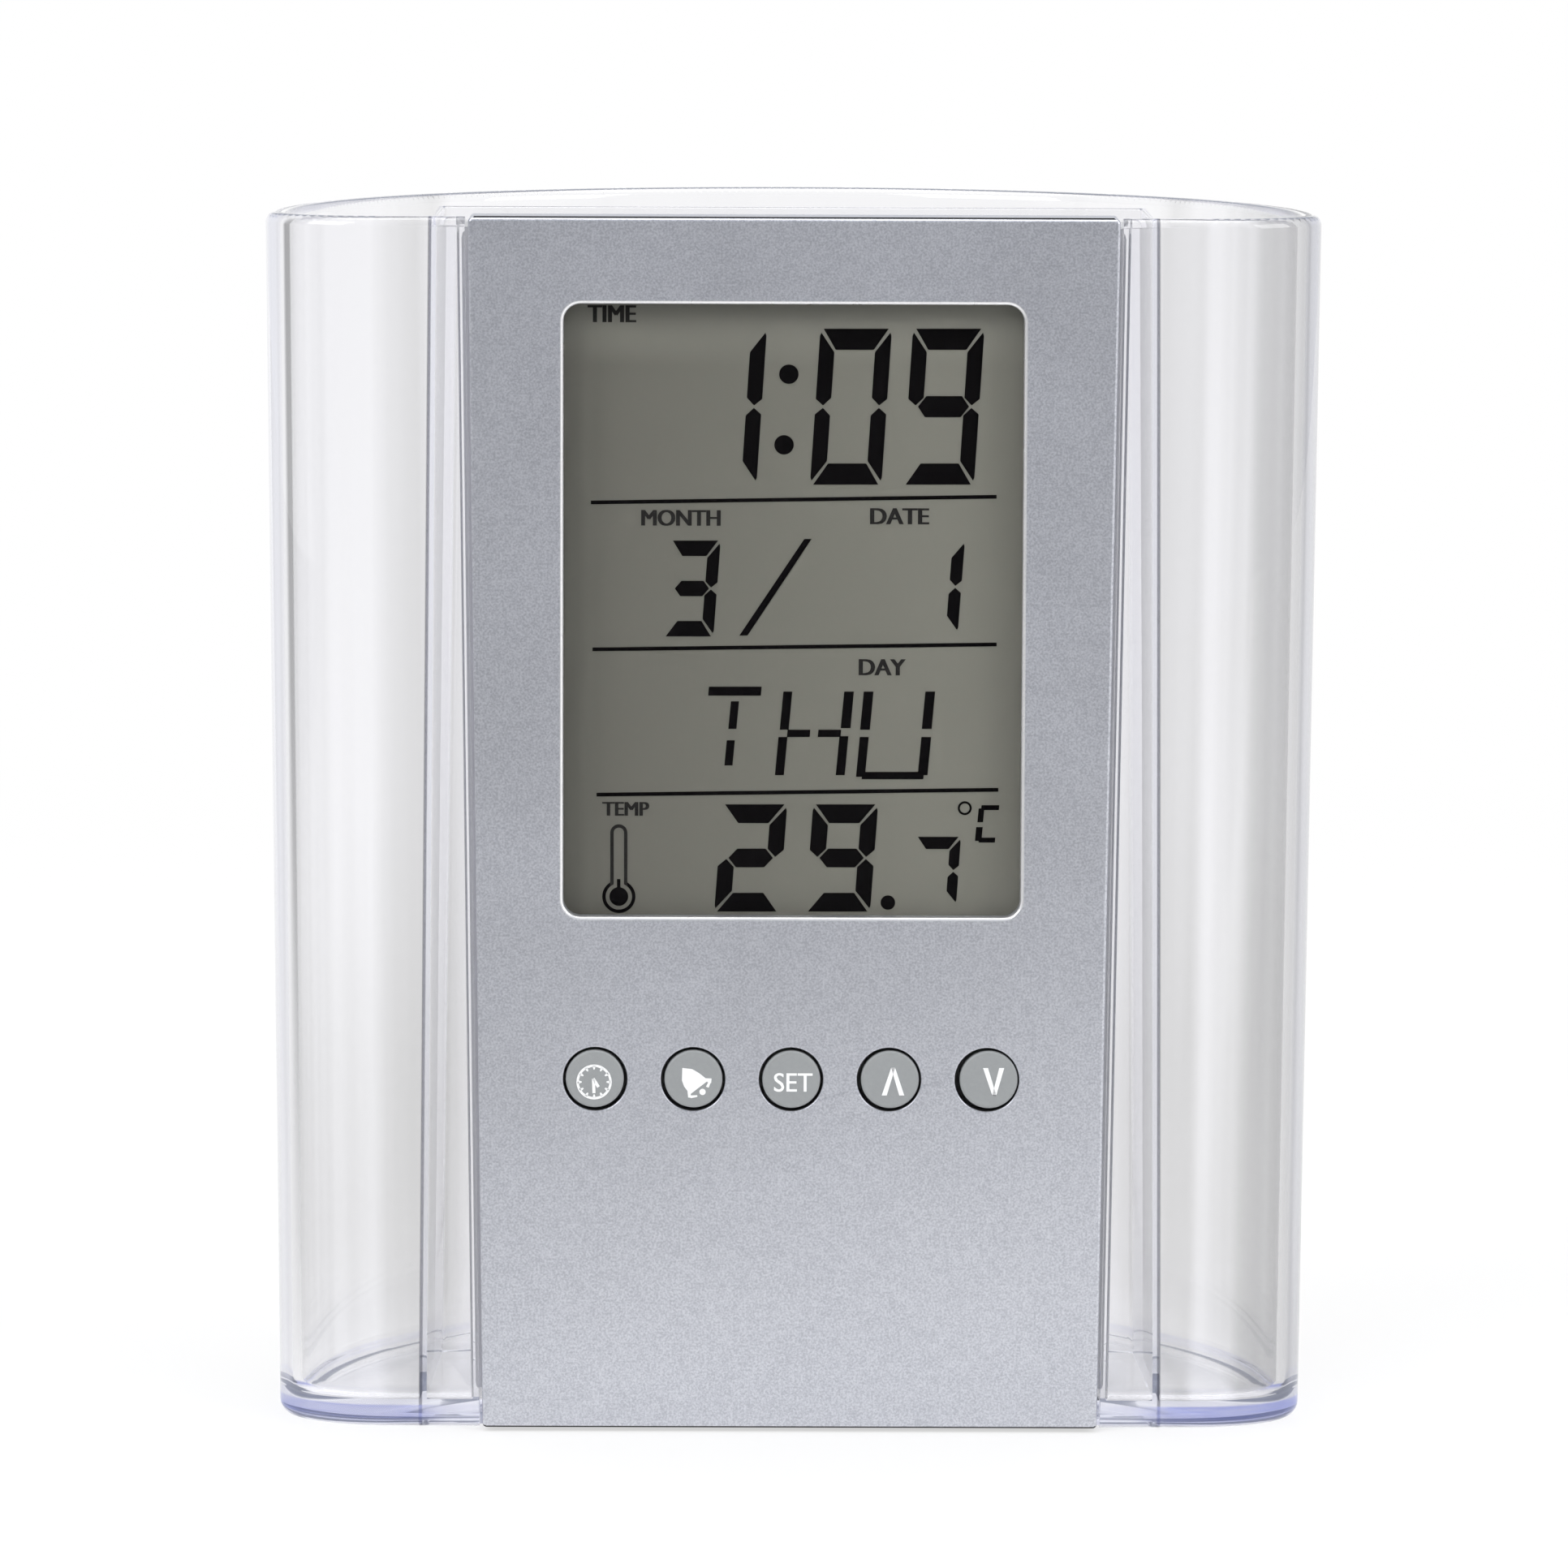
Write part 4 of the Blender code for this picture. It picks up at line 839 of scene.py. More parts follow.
@dataclass(frozen=True)
class Metal(Finish):
    """Bright plated or rolled metal with fine drawing lines."""

    colour: Triple = (0.62, 0.61, 0.58)
    roughness: Point = (0.2, 0.36)
    lines: Triple = (200.0, 3000.0, 3000.0)
    dull: float = 0.8
    relief: float = 0.004 * MM

    def build(self) -> bpy.types.Material:
        """Build the material."""
        material, board, shader, place = self.begin()
        noise = board.noise(board.stretch(place, self.lines), 1.0, 3.0)
        dull = [part * self.dull for part in self.colour]
        board.feed(shader, {"Base Color": board.blend(noise, rgba(dull), rgba(self.colour)),
                            "Roughness": self.handled(board, place, self.roughness, 200.0),
                            "Normal": board.bump(noise, 0.2, self.relief),
                            "Metallic": 1.0})
        return material


@dataclass(frozen=True)
class DisplayFilm(Finish):
    """Grey film of the display, warm, with painted shade deepening it to the left and painted
    light making it paler along its top and left edge.
    """

    # Painted shade and light: the film darker to the left, lighter to the right.
    left: Triple = (0.096, 0.092, 0.082)
    right: Triple = (0.154, 0.150, 0.132)
    reach: float = 20 * MM
    # Painted light along the top and left edge, against the shade of the front's edge.
    edge: Triple = (0.24, 0.235, 0.21)
    top: Triple = (93.5 * MM, 99.0 * MM, 0.62)
    side: Triple = (-17.0 * MM, -20.5 * MM, 0.35)
    cloud: Triple = (0.09, 0.088, 0.075)
    cloudy: float = 0.12
    gloss: Point = (0.42, 0.5)
    specular: float = 0.1

    def build(self) -> bpy.types.Material:
        """Build the material."""
        material, board, shader, place = self.begin()
        across, _, level = board.split(place)
        colour = board.blend(board.span(across, -self.reach, self.reach), rgba(self.left),
                             rgba(self.right))
        for socket, (start, end, most) in ((level, self.top), (across, self.side)):
            rise = board.span(socket, start, end, 0.0, most)
            colour = board.blend(rise, colour, rgba(self.edge))
        share = board.product(board.noise(place, 1400.0, 3.0), self.cloudy)
        board.feed(shader, {"Base Color": board.blend(share, colour, rgba(self.cloud)),
                            "Roughness": self.handled(board, place, self.gloss),
                            "Specular IOR Level": self.specular})
        return material


@dataclass(frozen=True)
class CircuitLacquer(Finish):
    """Green lacquer over copper lines."""

    first: Triple = (0.02, 0.16, 0.05)
    second: Triple = (0.015, 0.13, 0.04)
    line: Triple = (0.07, 0.30, 0.09)
    gloss: Point = (0.25, 0.38)
    relief: float = 0.02 * MM

    def build(self) -> bpy.types.Material:
        """Build the material."""
        material, board, shader, place = self.begin()
        lines = board.add("ShaderNodeTexBrick", {
            "Vector": place, "Scale": 180.0, "Color1": rgba(self.first),
            "Color2": rgba(self.second), "Mortar": rgba(self.line),
            "Mortar Size": 0.06}).outputs
        board.feed(shader, {"Base Color": lines["Color"],
                            "Roughness": self.handled(board, place, self.gloss),
                            "Normal": board.bump(lines["Fac"], 0.4, self.relief)})
        return material


@dataclass(frozen=True)
class CellSleeve(Finish):
    """Printed sleeve of a round cell: blue, then gold, with bare metal at its nub."""

    nub_side: int
    blue: Triple = (0.03, 0.09, 0.22)
    gold: Triple = (0.55, 0.33, 0.10)
    metal: Triple = (0.62, 0.61, 0.58)
    gold_from: Point = (12.0 * MM, 12.2 * MM)
    metal_from: Point = (20.2 * MM, 20.4 * MM)
    gloss: Point = (0.22, 0.34)

    def build(self) -> bpy.types.Material:
        """Build the material."""
        material, board, shader, place = self.begin()
        along = board.product(board.split(place)[0], float(self.nub_side))
        bare_and_painted_shade = board.span(along, *self.metal_from)
        colour = board.blend(board.span(along, *self.gold_from), rgba(self.blue),
                             rgba(self.gold))
        board.feed(shader, {"Base Color": board.blend(bare_and_painted_shade, colour, rgba(self.metal)),
                            "Roughness": self.handled(board, place, self.gloss),
                            "Metallic": bare_and_painted_shade})
        return material


@dataclass(frozen=True)
class CameraRig:
    """The photograph's camera, and where its pixels lie on the model."""

    place: Triple = (-5.16 * MM, -750.0 * MM, 150.46 * MM)
    turn: Triple = (82.6842, -0.2190, -0.3229)
    focal_pixels: float = 10372.7
    frame_pixels: int = 1932
    sensor: float = 36.0
    clip: Point = (0.05, 20.0)

    def rotation(self) -> Euler:
        """Return the camera's turn."""
        return Euler([radians(angle) for angle in self.turn], "XYZ")

    def build(self) -> None:
        """Create the camera and make it the scene's camera."""
        data = bpy.data.cameras.new("camera")
        data.sensor_width = self.sensor
        data.lens = self.focal_pixels * self.sensor / self.frame_pixels
        data.clip_start, data.clip_end = self.clip
        camera = bpy.data.objects.new("camera", data)
        camera.location = self.place
        camera.rotation_euler = self.rotation()
        bpy.context.scene.collection.objects.link(camera)
        bpy.context.scene.camera = camera

    def on_plane(self, pixel: Point, y: float) -> Point:
        """Find where a pixel of the photograph lies on a plane of constant y.

        Args:
            pixel: Column and row in the photograph.
            y: The plane.

        Returns:
            The x and z of the point.
        """
        half = self.frame_pixels / 2
        ray = Vector(((pixel[0] - half) / self.focal_pixels,
                      (half - pixel[1]) / self.focal_pixels, -1.0))
        ray.rotate(self.rotation())
        origin = Vector(self.place)
        hit = origin + ray * ((y - origin.y) / ray.y)
        return hit.x, hit.z


CAMERA = CameraRig()


@dataclass(frozen=True)
class Lamp:
    """One soft area lamp."""

    name: str
    place: Triple
    aim: Triple
    size: float
    power: float

    def build(self) -> None:
        """Create the lamp and aim it."""
        data = bpy.data.lights.new(self.name, "AREA")
        data.shape = "SQUARE"
        data.size = self.size
        data.energy = self.power
        lamp = bpy.data.objects.new(self.name, data)
        lamp.location = self.place
        aim = Vector(self.aim) - Vector(self.place)
        lamp.rotation_euler = aim.to_track_quat("-Z", "Y").to_euler()
        bpy.context.scene.collection.objects.link(lamp)


@dataclass
class Studio:
    """White studio: the world, the floor, the lamps and the camera."""

    fill: float = 0.50
    around: Stops = (
        (-180, 1.0), (-152, 0.95), (-132, 0.42), (-106, 0.26), (-92, 0.95), (-62, 1.0),
        (-50, 0.20), (-8, 0.22), (18, 0.34), (42, 0.38), (54, 1.0), (82, 0.95), (96, 0.28),
        (128, 0.40), (150, 0.95), (180, 1.0))
    cool: Triple = (0.92, 0.97, 1.12)
    cooling: float = 1.4
    sky_tone: float = 0.40
    roof_tone: float = 0.80
    sky_low: Point = (0.10, 0.30)
    sky_high: Point = (0.72, 0.86)
    floor_white: float = 0.62
    mirrored_white: float = 0.45
    floor_side: float = 6.0
    floor_levels: Point = (-2.0 * MM, -0.05 * MM)
    floor_grey: float = 0.9
    floor_roughness: float = 0.7
    floor_specular: float = 0.1
    near_floor: float = 0.10
    far_floor: float = 0.45
    bright_ahead: float = -0.075
    dim_ahead: float = -0.165
    ahead_tone: float = 0.20
    slope: float = 1.2
    lamps: tuple[Lamp, ...] = field(default_factory=lambda: (
        Lamp("lamp_left", (-0.75, -0.75, 0.75), (0, 0, 0.05), 0.7, 7.0),
        Lamp("lamp_right", (0.85, -0.55, 0.60), (0, 0, 0.05), 0.6, 5.0),
        Lamp("lamp_top", (0.0, 0.15, 1.1), (0, 0, 0.05), 0.8, 6.0),
    ))

    def tones(self) -> list[tuple]:
        """Return the stops of the studio's round wall, from behind over the left."""
        stops = []
        for angle, tone in self.around:
            share = min(1.0, (1.0 - tone) * self.cooling)
            stops.append(((angle + 180) / 360,
                          [tone * (1 + share * (cool - 1)) for cool in self.cool]))
        return stops

    def mirrored(self, board: Board, path: Sequence[Socket]) -> Socket:
        """Say whether a ray has been mirrored on its way."""
        return board.math("GREATER_THAN", path["Glossy Depth"], 0.5)

    def build_world(self) -> None:
        """White behind all that is seen straight, and cards and soft boxes in mirrors."""
        world = bpy.data.worlds.new("studio")
        world.use_nodes = True
        bpy.context.scene.world = world
        board = Board(world.node_tree)
        path = board.add("ShaderNodeLightPath").outputs
        x, y, z = board.split(board.add("ShaderNodeTexCoord").outputs["Generated"])
        turn = board.math("ARCTAN2", x, board.product(y, -1.0))
        room = board.ramp(board.span(turn, -pi, pi), self.tones())
        sky = [self.sky_tone * cool for cool in self.cool]
        for rise, tone in ((self.sky_low, sky), (self.sky_high, [self.roof_tone] * 3)):
            room = board.blend(board.span(z, *rise), room, rgba(tone))
        white = rgba(WHITE)
        seen = board.backdrop(board.blend(self.mirrored(board, path), white, room))
        sharp = board.math("MAXIMUM", path["Is Glossy Ray"], path["Is Transmission Ray"])
        unseen = board.mix(sharp, board.backdrop(white, self.fill), seen)
        board.feed(board.tree.nodes["World Output"], {
            "Surface": board.mix(path["Is Camera Ray"], unseen, board.backdrop(white))})

    def build_floor(self) -> None:
        """Pale floor that shows white and keeps the object's shadow."""
        half, (low, high) = self.floor_side / 2, self.floor_levels
        floor = Workpiece.block("studio_floor", (-half, -half, low), (half, half, high))
        material, board, shader, place = Finish("studio_floor").begin()
        board.feed(shader, {"Base Color": rgba([self.floor_grey] * 3),
                            "Roughness": self.floor_roughness,
                            "Specular IOR Level": self.floor_specular})
        path = board.add("ShaderNodeLightPath").outputs
        mirrored = self.mirrored(board, path)
        seen = path["Is Camera Ray"]
        for kind in ("Is Glossy Ray", "Is Transmission Ray"):
            seen = board.math("MAXIMUM", seen, path[kind])
        away = board.add("ShaderNodeVectorMath", {0: place}, operation="LENGTH")
        rises = [board.span(away.outputs["Value"], self.near_floor, self.far_floor, least)
                 for least in (self.floor_white, self.mirrored_white)]
        rise = board.add("ShaderNodeMix", {0: mirrored, 2: rises[0], 3: rises[1]}).outputs[0]
        x, y, _ = board.split(place)
        ahead = board.math("ADD", y, board.product(x, self.slope))
        dim = board.span(ahead, self.dim_ahead, self.bright_ahead, self.ahead_tone)
        strength = board.math("MAXIMUM", board.math("SUBTRACT", 1.0, mirrored), dim)
        white = board.add("ShaderNodeEmission", {0: rgba(WHITE), 1: strength}).outputs[0]
        board.feed(board.tree.nodes["Material Output"], {
            "Surface": board.mix(board.product(seen, rise), shader.outputs[0], white)})
        floor.thing.data.materials.append(material)

    def build(self) -> None:
        """Build the whole studio."""
        bpy.context.scene.view_settings.view_transform = "Standard"
        self.build_world()
        self.build_floor()
        for lamp in self.lamps:
            lamp.build()
        CAMERA.build()


@dataclass
class Sizes:
    """Sizes that the cup and the clock module share."""

    height: float = 106.4 * MM
    gap: float = 0.3 * MM
    panel_half_top: float = 28.15 * MM
    panel_taper: float = 1.2 * MM

    def panel_half(self, z: float) -> float:
        """Half of the tapered panel's width at a height."""
        return self.panel_half_top - self.panel_taper * (1 - z / self.height)


@dataclass
class ClearCup(Sizes):
    """Clear D-shaped cup with its slot, rails and partitions."""

    half_width: float = 46.0 * MM
    back_depth: float = 41.0 * MM
    widest: float = -16.4 * MM
    front: float = -23.4 * MM
    corner_width: float = 10.0 * MM
    draft: float = 0.9 * MM
    wall: float = 2.2 * MM
    floor: float = 2.2 * MM
    rim_radius: float = 0.85 * MM
    base_radius: float = 1.4 * MM
    floor_fillet: float = 1.5 * MM
    outline_steps: int = 416
    corner_steps: int = 16
    pocket_half_top: float = 30.4 * MM
    lean: float = 1.0 * MM
    partition: float = 1.2 * MM
    thin_side: float = 0.6 * MM
    partition_back: float = 1.5 * MM
    partition_top: float = 105.9 * MM
    partition_edge: float = 0.2 * MM
    partition_round: float = 0.9 * MM
    rail: float = 0.8 * MM
    rail_back: float = -18.2 * MM
    overrun: float = 1.0 * MM
    edge: float = 0.22 * MM
    merge: float = 0.01 * MM
    tall: float = 50.0 * MM
    along_slot: float = 60.0 * MM
    sharp: float = radians(60)
    square: float = radians(40)

    def outline(self) -> Workpiece:
        """Shape the D outline as a flat face at the level of the rim."""
        stretch = self.corner_width / (self.widest - self.front)
        cup = Workpiece.disc("clear_cup", self.outline_steps, self.half_width)
        with cup.editing():
            cup.pick_all()
            cup.size((1, self.back_depth * stretch / self.half_width, 1))
            bpy.ops.mesh.bisect(plane_co=(0, 0, 0), plane_no=(0, 1, 0), clear_inner=True)
            cup.pick(Part.EDGE, lies_at(1, 0.0))
            cup.pull((0, -self.corner_width, 0))
            cup.pick(Part.EDGE, lies_at(1, 0.0))
            bpy.ops.mesh.dissolve_edges(use_verts=False)
            cup.pick(Part.VERT, lambda v: v.co.y < -self.corner_width + TINY)
            bpy.ops.mesh.bevel(offset=self.corner_width, segments=self.corner_steps,
                               affect="VERTICES", clamp_overlap=False)
            cup.pick_all()
            bpy.ops.mesh.remove_doubles(threshold=TINY)
            cup.size((1, 1 / stretch, 1))
            cup.shift((0, self.widest, self.height))
        return cup

    def narrow(self, cup: Workpiece, level: float) -> None:
        """Draw in the outline at a level, as the mould's draft does."""
        drop = self.draft * (1 - level / self.height)
        cup.pick(Part.VERT, lambda v: abs(v.co.z - level) < TINY)
        cup.size((1 - drop / self.half_width, 1, 1))
        cup.pick(Part.VERT, lambda v: abs(v.co.z - level) < TINY and v.co.y > self.widest)
        cup.size((1, 1 - drop / self.back_depth, 1), (0, self.widest, 0))

    def shell(self) -> Workpiece:
        """Raise the outline to the hollow cup, rounded at its base, floor and rim."""
        cup = self.outline()
        with cup.editing():
            cup.pick_all()
            cup.pull((0, 0, -self.height))
            cup.face_outward()
            self.narrow(cup, 0.0)
            cup.pick(Part.FACE, lies_at(2, self.height))
            bpy.ops.mesh.inset(thickness=self.wall)
            cup.pull((0, 0, self.floor - self.height))
            self.narrow(cup, self.floor)
            for level, radius, steps in ((0.0, self.base_radius, 6),
                                         (self.floor, self.floor_fillet, 7),
                                         (self.height, self.rim_radius, 6)):
                cup.bevel(lies_at(2, level), radius, steps)
        return cup

    def partition_half(self, z: float) -> float:
        """Distance from the middle to the inside of a leaning partition at a height."""
        return self.pocket_half_top + self.lean * (1 - z / self.height)

    def prism(self, name: str, half: Callable[[float], float], front: float, back: float,
              low: float, high: float) -> Workpiece:
        """Make a block whose width at its top and foot comes from a function.

        Args:
            name: Name of the piece.
            half: Gives half of the width at a height.
            front: Its lowest y.
            back: Its highest y.
            low: Its lowest z.
            high: Its highest z.

        Returns:
            The block.
        """
        block = Workpiece.block(name, (-half(high), front, low), (half(high), back, high))
        with block.editing():
            block.pick(Part.VERT, lambda v: v.co.z < low + TINY)
            block.size((half(low) / half(high), 1, 1))
        return block

    def round_back(self, block: Workpiece, back: float, radius: float) -> None:
        """Round the two upright edges at the back of a block."""
        at_back = lies_at(1, back)
        with block.editing():
            block.bevel(lambda e: at_back(e)
                        and abs(e.verts[0].co.z - e.verts[1].co.z) > self.tall, radius, 5)

    def pocket_walls(self) -> Workpiece:
        """Partitions and the wall behind the clock, as one U-shaped wall."""
        start = self.front + self.wall - self.overrun
        walls = self.prism("pocket_walls", lambda z: self.partition_half(z) + self.partition,
                           start, self.partition_back, self.overrun, self.partition_top)
        self.round_back(walls, self.partition_back, self.partition_round)
        back = self.partition_back - self.partition
        spare = self.partition - self.thin_side
        room = self.prism("pocket_room", lambda z: self.partition_half(z) + spare,
                          start - self.overrun, back, 0.0, self.partition_top + self.overrun)
        self.round_back(room, back, self.partition_round / 3)
        walls.combine(Join.DIFFERENCE, room)
        with walls.editing():
            walls.bevel(self.is_top_edge, self.partition_edge, 3)
        return walls

    def is_top_edge(self, edge: bmesh.types.BMEdge) -> bool:
        """Say whether an edge is a sharp one on top of the partitions."""
        return (lies_at(2, self.partition_top)(edge) and len(edge.link_faces) == 2
                and edge.calc_face_angle(0) > self.sharp)

    def build(self) -> None:
        """Model the cup and dress it."""
        cup = self.shell()
        inner, high = self.front + self.wall, self.height + self.overrun
        rails = self.prism("rails", lambda z: self.panel_half(z) + self.gap + self.rail,
                           inner - self.overrun, self.rail_back, self.floor / 2,
                           self.partition_top)
        cup.combine(Join.UNION, self.pocket_walls(), rails)
        slot = self.prism("slot", lambda z: self.panel_half(z) + self.gap,
                          self.front - self.overrun, self.rail_back + self.overrun,
                          -self.overrun, high)
        sill = Workpiece.block("sill", (-self.half_width, inner, -2 * self.overrun),
                               (self.half_width, self.widest, self.floor))
        slot.combine(Join.DIFFERENCE, sill)
        cup.combine(Join.DIFFERENCE, slot)
        with cup.editing():
            cup.pick_all()
            bpy.ops.mesh.remove_doubles(threshold=self.merge)
            bpy.ops.mesh.dissolve_limited(angle_limit=FLAT)
            cup.bevel(self.is_slot_edge, self.edge, 3, True)
        cup.smooth(40)
        cup.settle("pen_holder", "pen_holder", ClearPlastic("clear_cup").build(),
                   ("pen_holder",))

    def is_slot_edge(self, edge: bmesh.types.BMEdge) -> bool:
        """Say whether an edge is one of the long sharp ones along the slot."""
        if len(edge.link_faces) != 2 or edge.calc_length() < self.along_slot:
            return False
        return edge.is_convex and edge.calc_face_angle() > self.square


@dataclass
class SilverFront(Sizes):
    """Silver front of the clock module, with its window and five button holes."""

    face: float = -24.4 * MM
    inside: float = -23.0 * MM
    back: float = -18.2 * MM
    bottom: float = 0.3 * MM
    wall: float = 1.4 * MM
    corner: float = 0.36 * MM
    edge: float = 0.28 * MM
    window_half: float = 19.9 * MM
    window_low: float = 45.6 * MM
    window_high: float = 99.0 * MM
    window_corner: float = 1.5 * MM
    window_edge: float = 0.3 * MM
    hole_radius: float = 2.8 * MM
    hole_edge: float = 0.14 * MM
    groove_front: float = -23.95 * MM
    groove_back: float = -21.8 * MM
    groove_side: float = 0.45 * MM
    groove_depth: float = 0.5 * MM
    downward: float = -0.35
    # Paler silver for the window's chamfer: a painted highlight.
    highlight_dark: Triple = (0.90, 0.90, 0.92)
    highlight_light: Triple = (0.99, 0.99, 1.0)

    def body(self) -> Workpiece:
        """Shape the tapered block, its rounded corners and its soft front edge."""
        front = Workpiece.block("silver_front",
                                (-self.panel_half_top, self.face, self.bottom),
                                (self.panel_half_top, self.back, self.height))
        with front.editing():
            front.pick(Part.VERT, lambda v: v.co.z < self.bottom + TINY)
            front.size((self.panel_half(self.bottom) / self.panel_half_top, 1, 1))
            front.bevel(runs_back, self.corner, 5)
            front.bevel(lies_at(1, self.face), self.edge, 4)
        return front

    def hollow(self) -> Workpiece:
        """Block that hollows the front from behind."""
        top = self.panel_half_top - self.wall
        foot = self.panel_half(self.bottom) - self.wall
        room = Workpiece.block("front_room", (-top, self.inside, self.bottom + self.wall),
                               (top, self.back + self.wall, self.height - self.wall))
        with room.editing():
            room.pick(Part.VERT, lambda v: v.co.z < self.height / 2)
            room.size((foot / top, 1, 1))
        return room

    def window(self) -> Workpiece:
        """Block with rounded corners that cuts the window."""
        cut = Workpiece.block("window_cut",
                              (-self.window_half, self.face - self.wall, self.window_low),
                              (self.window_half, self.inside + self.wall, self.window_high))
        with cut.editing():
            cut.bevel(runs_back, self.window_corner, 10)
        return cut

    def groove(self) -> Workpiece:
        """Block that cuts the groove along the top, behind the front's edge; its faces take dark
        painted shade.
        """
        half = self.panel_half_top - self.groove_side
        return Workpiece.block("groove_cut",
                               (-half, self.groove_front, self.height - self.groove_depth),
                               (half, self.groove_back, self.height + self.wall))

    def is_painted_shade(self, face: bpy.types.MeshPolygon, buttons: "Buttons") -> bool:
        """Say whether a face takes dark painted shade: hole walls, groove and underside."""
        middle = face.center
        if (middle.z > self.height - self.groove_depth - TINY and middle.z < self.height - TINY
                and self.groove_front - TINY < middle.y < self.groove_back + TINY
                and abs(middle.x) < self.panel_half_top - self.groove_side + TINY):
            return True
        if middle.z < self.bottom + self.edge and face.normal.z < self.downward:
            return True
        return middle.y > self.face + self.hole_edge and any(
            hypot(middle.x - x, middle.z - buttons.level) < self.hole_radius + TINY
            for x in buttons.places())

    def is_painted_highlight(self, face: bpy.types.MeshPolygon) -> bool:
        """Say whether a face belongs to the window's chamfer, which takes paler silver as a
        painted highlight.
        """
        middle = face.center
        return (self.face + NARROW < middle.y < self.face + self.window_edge
                and abs(middle.x) < self.window_half + self.window_edge
                and self.window_low - self.window_edge < middle.z
                < self.window_high + self.window_edge)

    def near_window(self, edge: bmesh.types.BMEdge) -> bool:
        """Say whether an edge lies on the front rim of the window."""
        return all(abs(v.co.y - self.face) < TINY and abs(v.co.x) < self.window_half + TINY
                   and self.window_low - TINY < v.co.z < self.window_high + TINY
                   for v in edge.verts)

    def near_hole(self, edge: bmesh.types.BMEdge, buttons: "Buttons") -> bool:
        """Say whether an edge lies on the front rim of a button hole."""
        return all(abs(v.co.y - self.face) < TINY
                   and any(abs(hypot(v.co.x - x, v.co.z - buttons.level) - self.hole_radius)
                           < TINY for x in buttons.places()) for v in edge.verts)

    def build(self, buttons: "Buttons") -> None:
        """Model the front and dress it.

        Args:
            buttons: The buttons that come through it.
        """
        front = self.body()
        middle = (self.face + self.inside) / 2
        holes = [Workpiece.rod("hole", (x, middle, buttons.level), self.hole_radius,
                               3 * self.wall, ROUND) for x in buttons.places()]
        front.combine(Join.DIFFERENCE, self.hollow(), self.window(), self.groove(), *holes)
        with front.editing():
            front.pick_all()
            bpy.ops.mesh.dissolve_limited(angle_limit=FLAT)
            front.bevel(self.near_window, self.window_edge, 4)
            front.bevel(lambda e: self.near_hole(e, buttons), self.hole_edge, 3)
        front.smooth(35)
        front.apply("WEIGHTED_NORMAL", keep_sharp=True)
        # Dark painted shade on the hole walls, in the groove and along the underside's edge.
        bare_and_painted_shade = Moulded("bare_plastic", (0.05, 0.05, 0.053), (0.6, 0.7), dust=0.0,
                       specular=0.15).build()
        # The window's chamfer takes paler silver, a painted highlight.
        painted_highlight = SilverPaint("silver_rim", self.highlight_dark, self.highlight_light, (0.26, 0.30)).build()
        front.settle("clock_module", "front_bezel", SilverPaint("silver_paint").build(),
                     ("front_bezel",), ((bare_and_painted_shade, lambda face: self.is_painted_shade(face, buttons)),
                                        (painted_highlight, self.is_painted_highlight)))


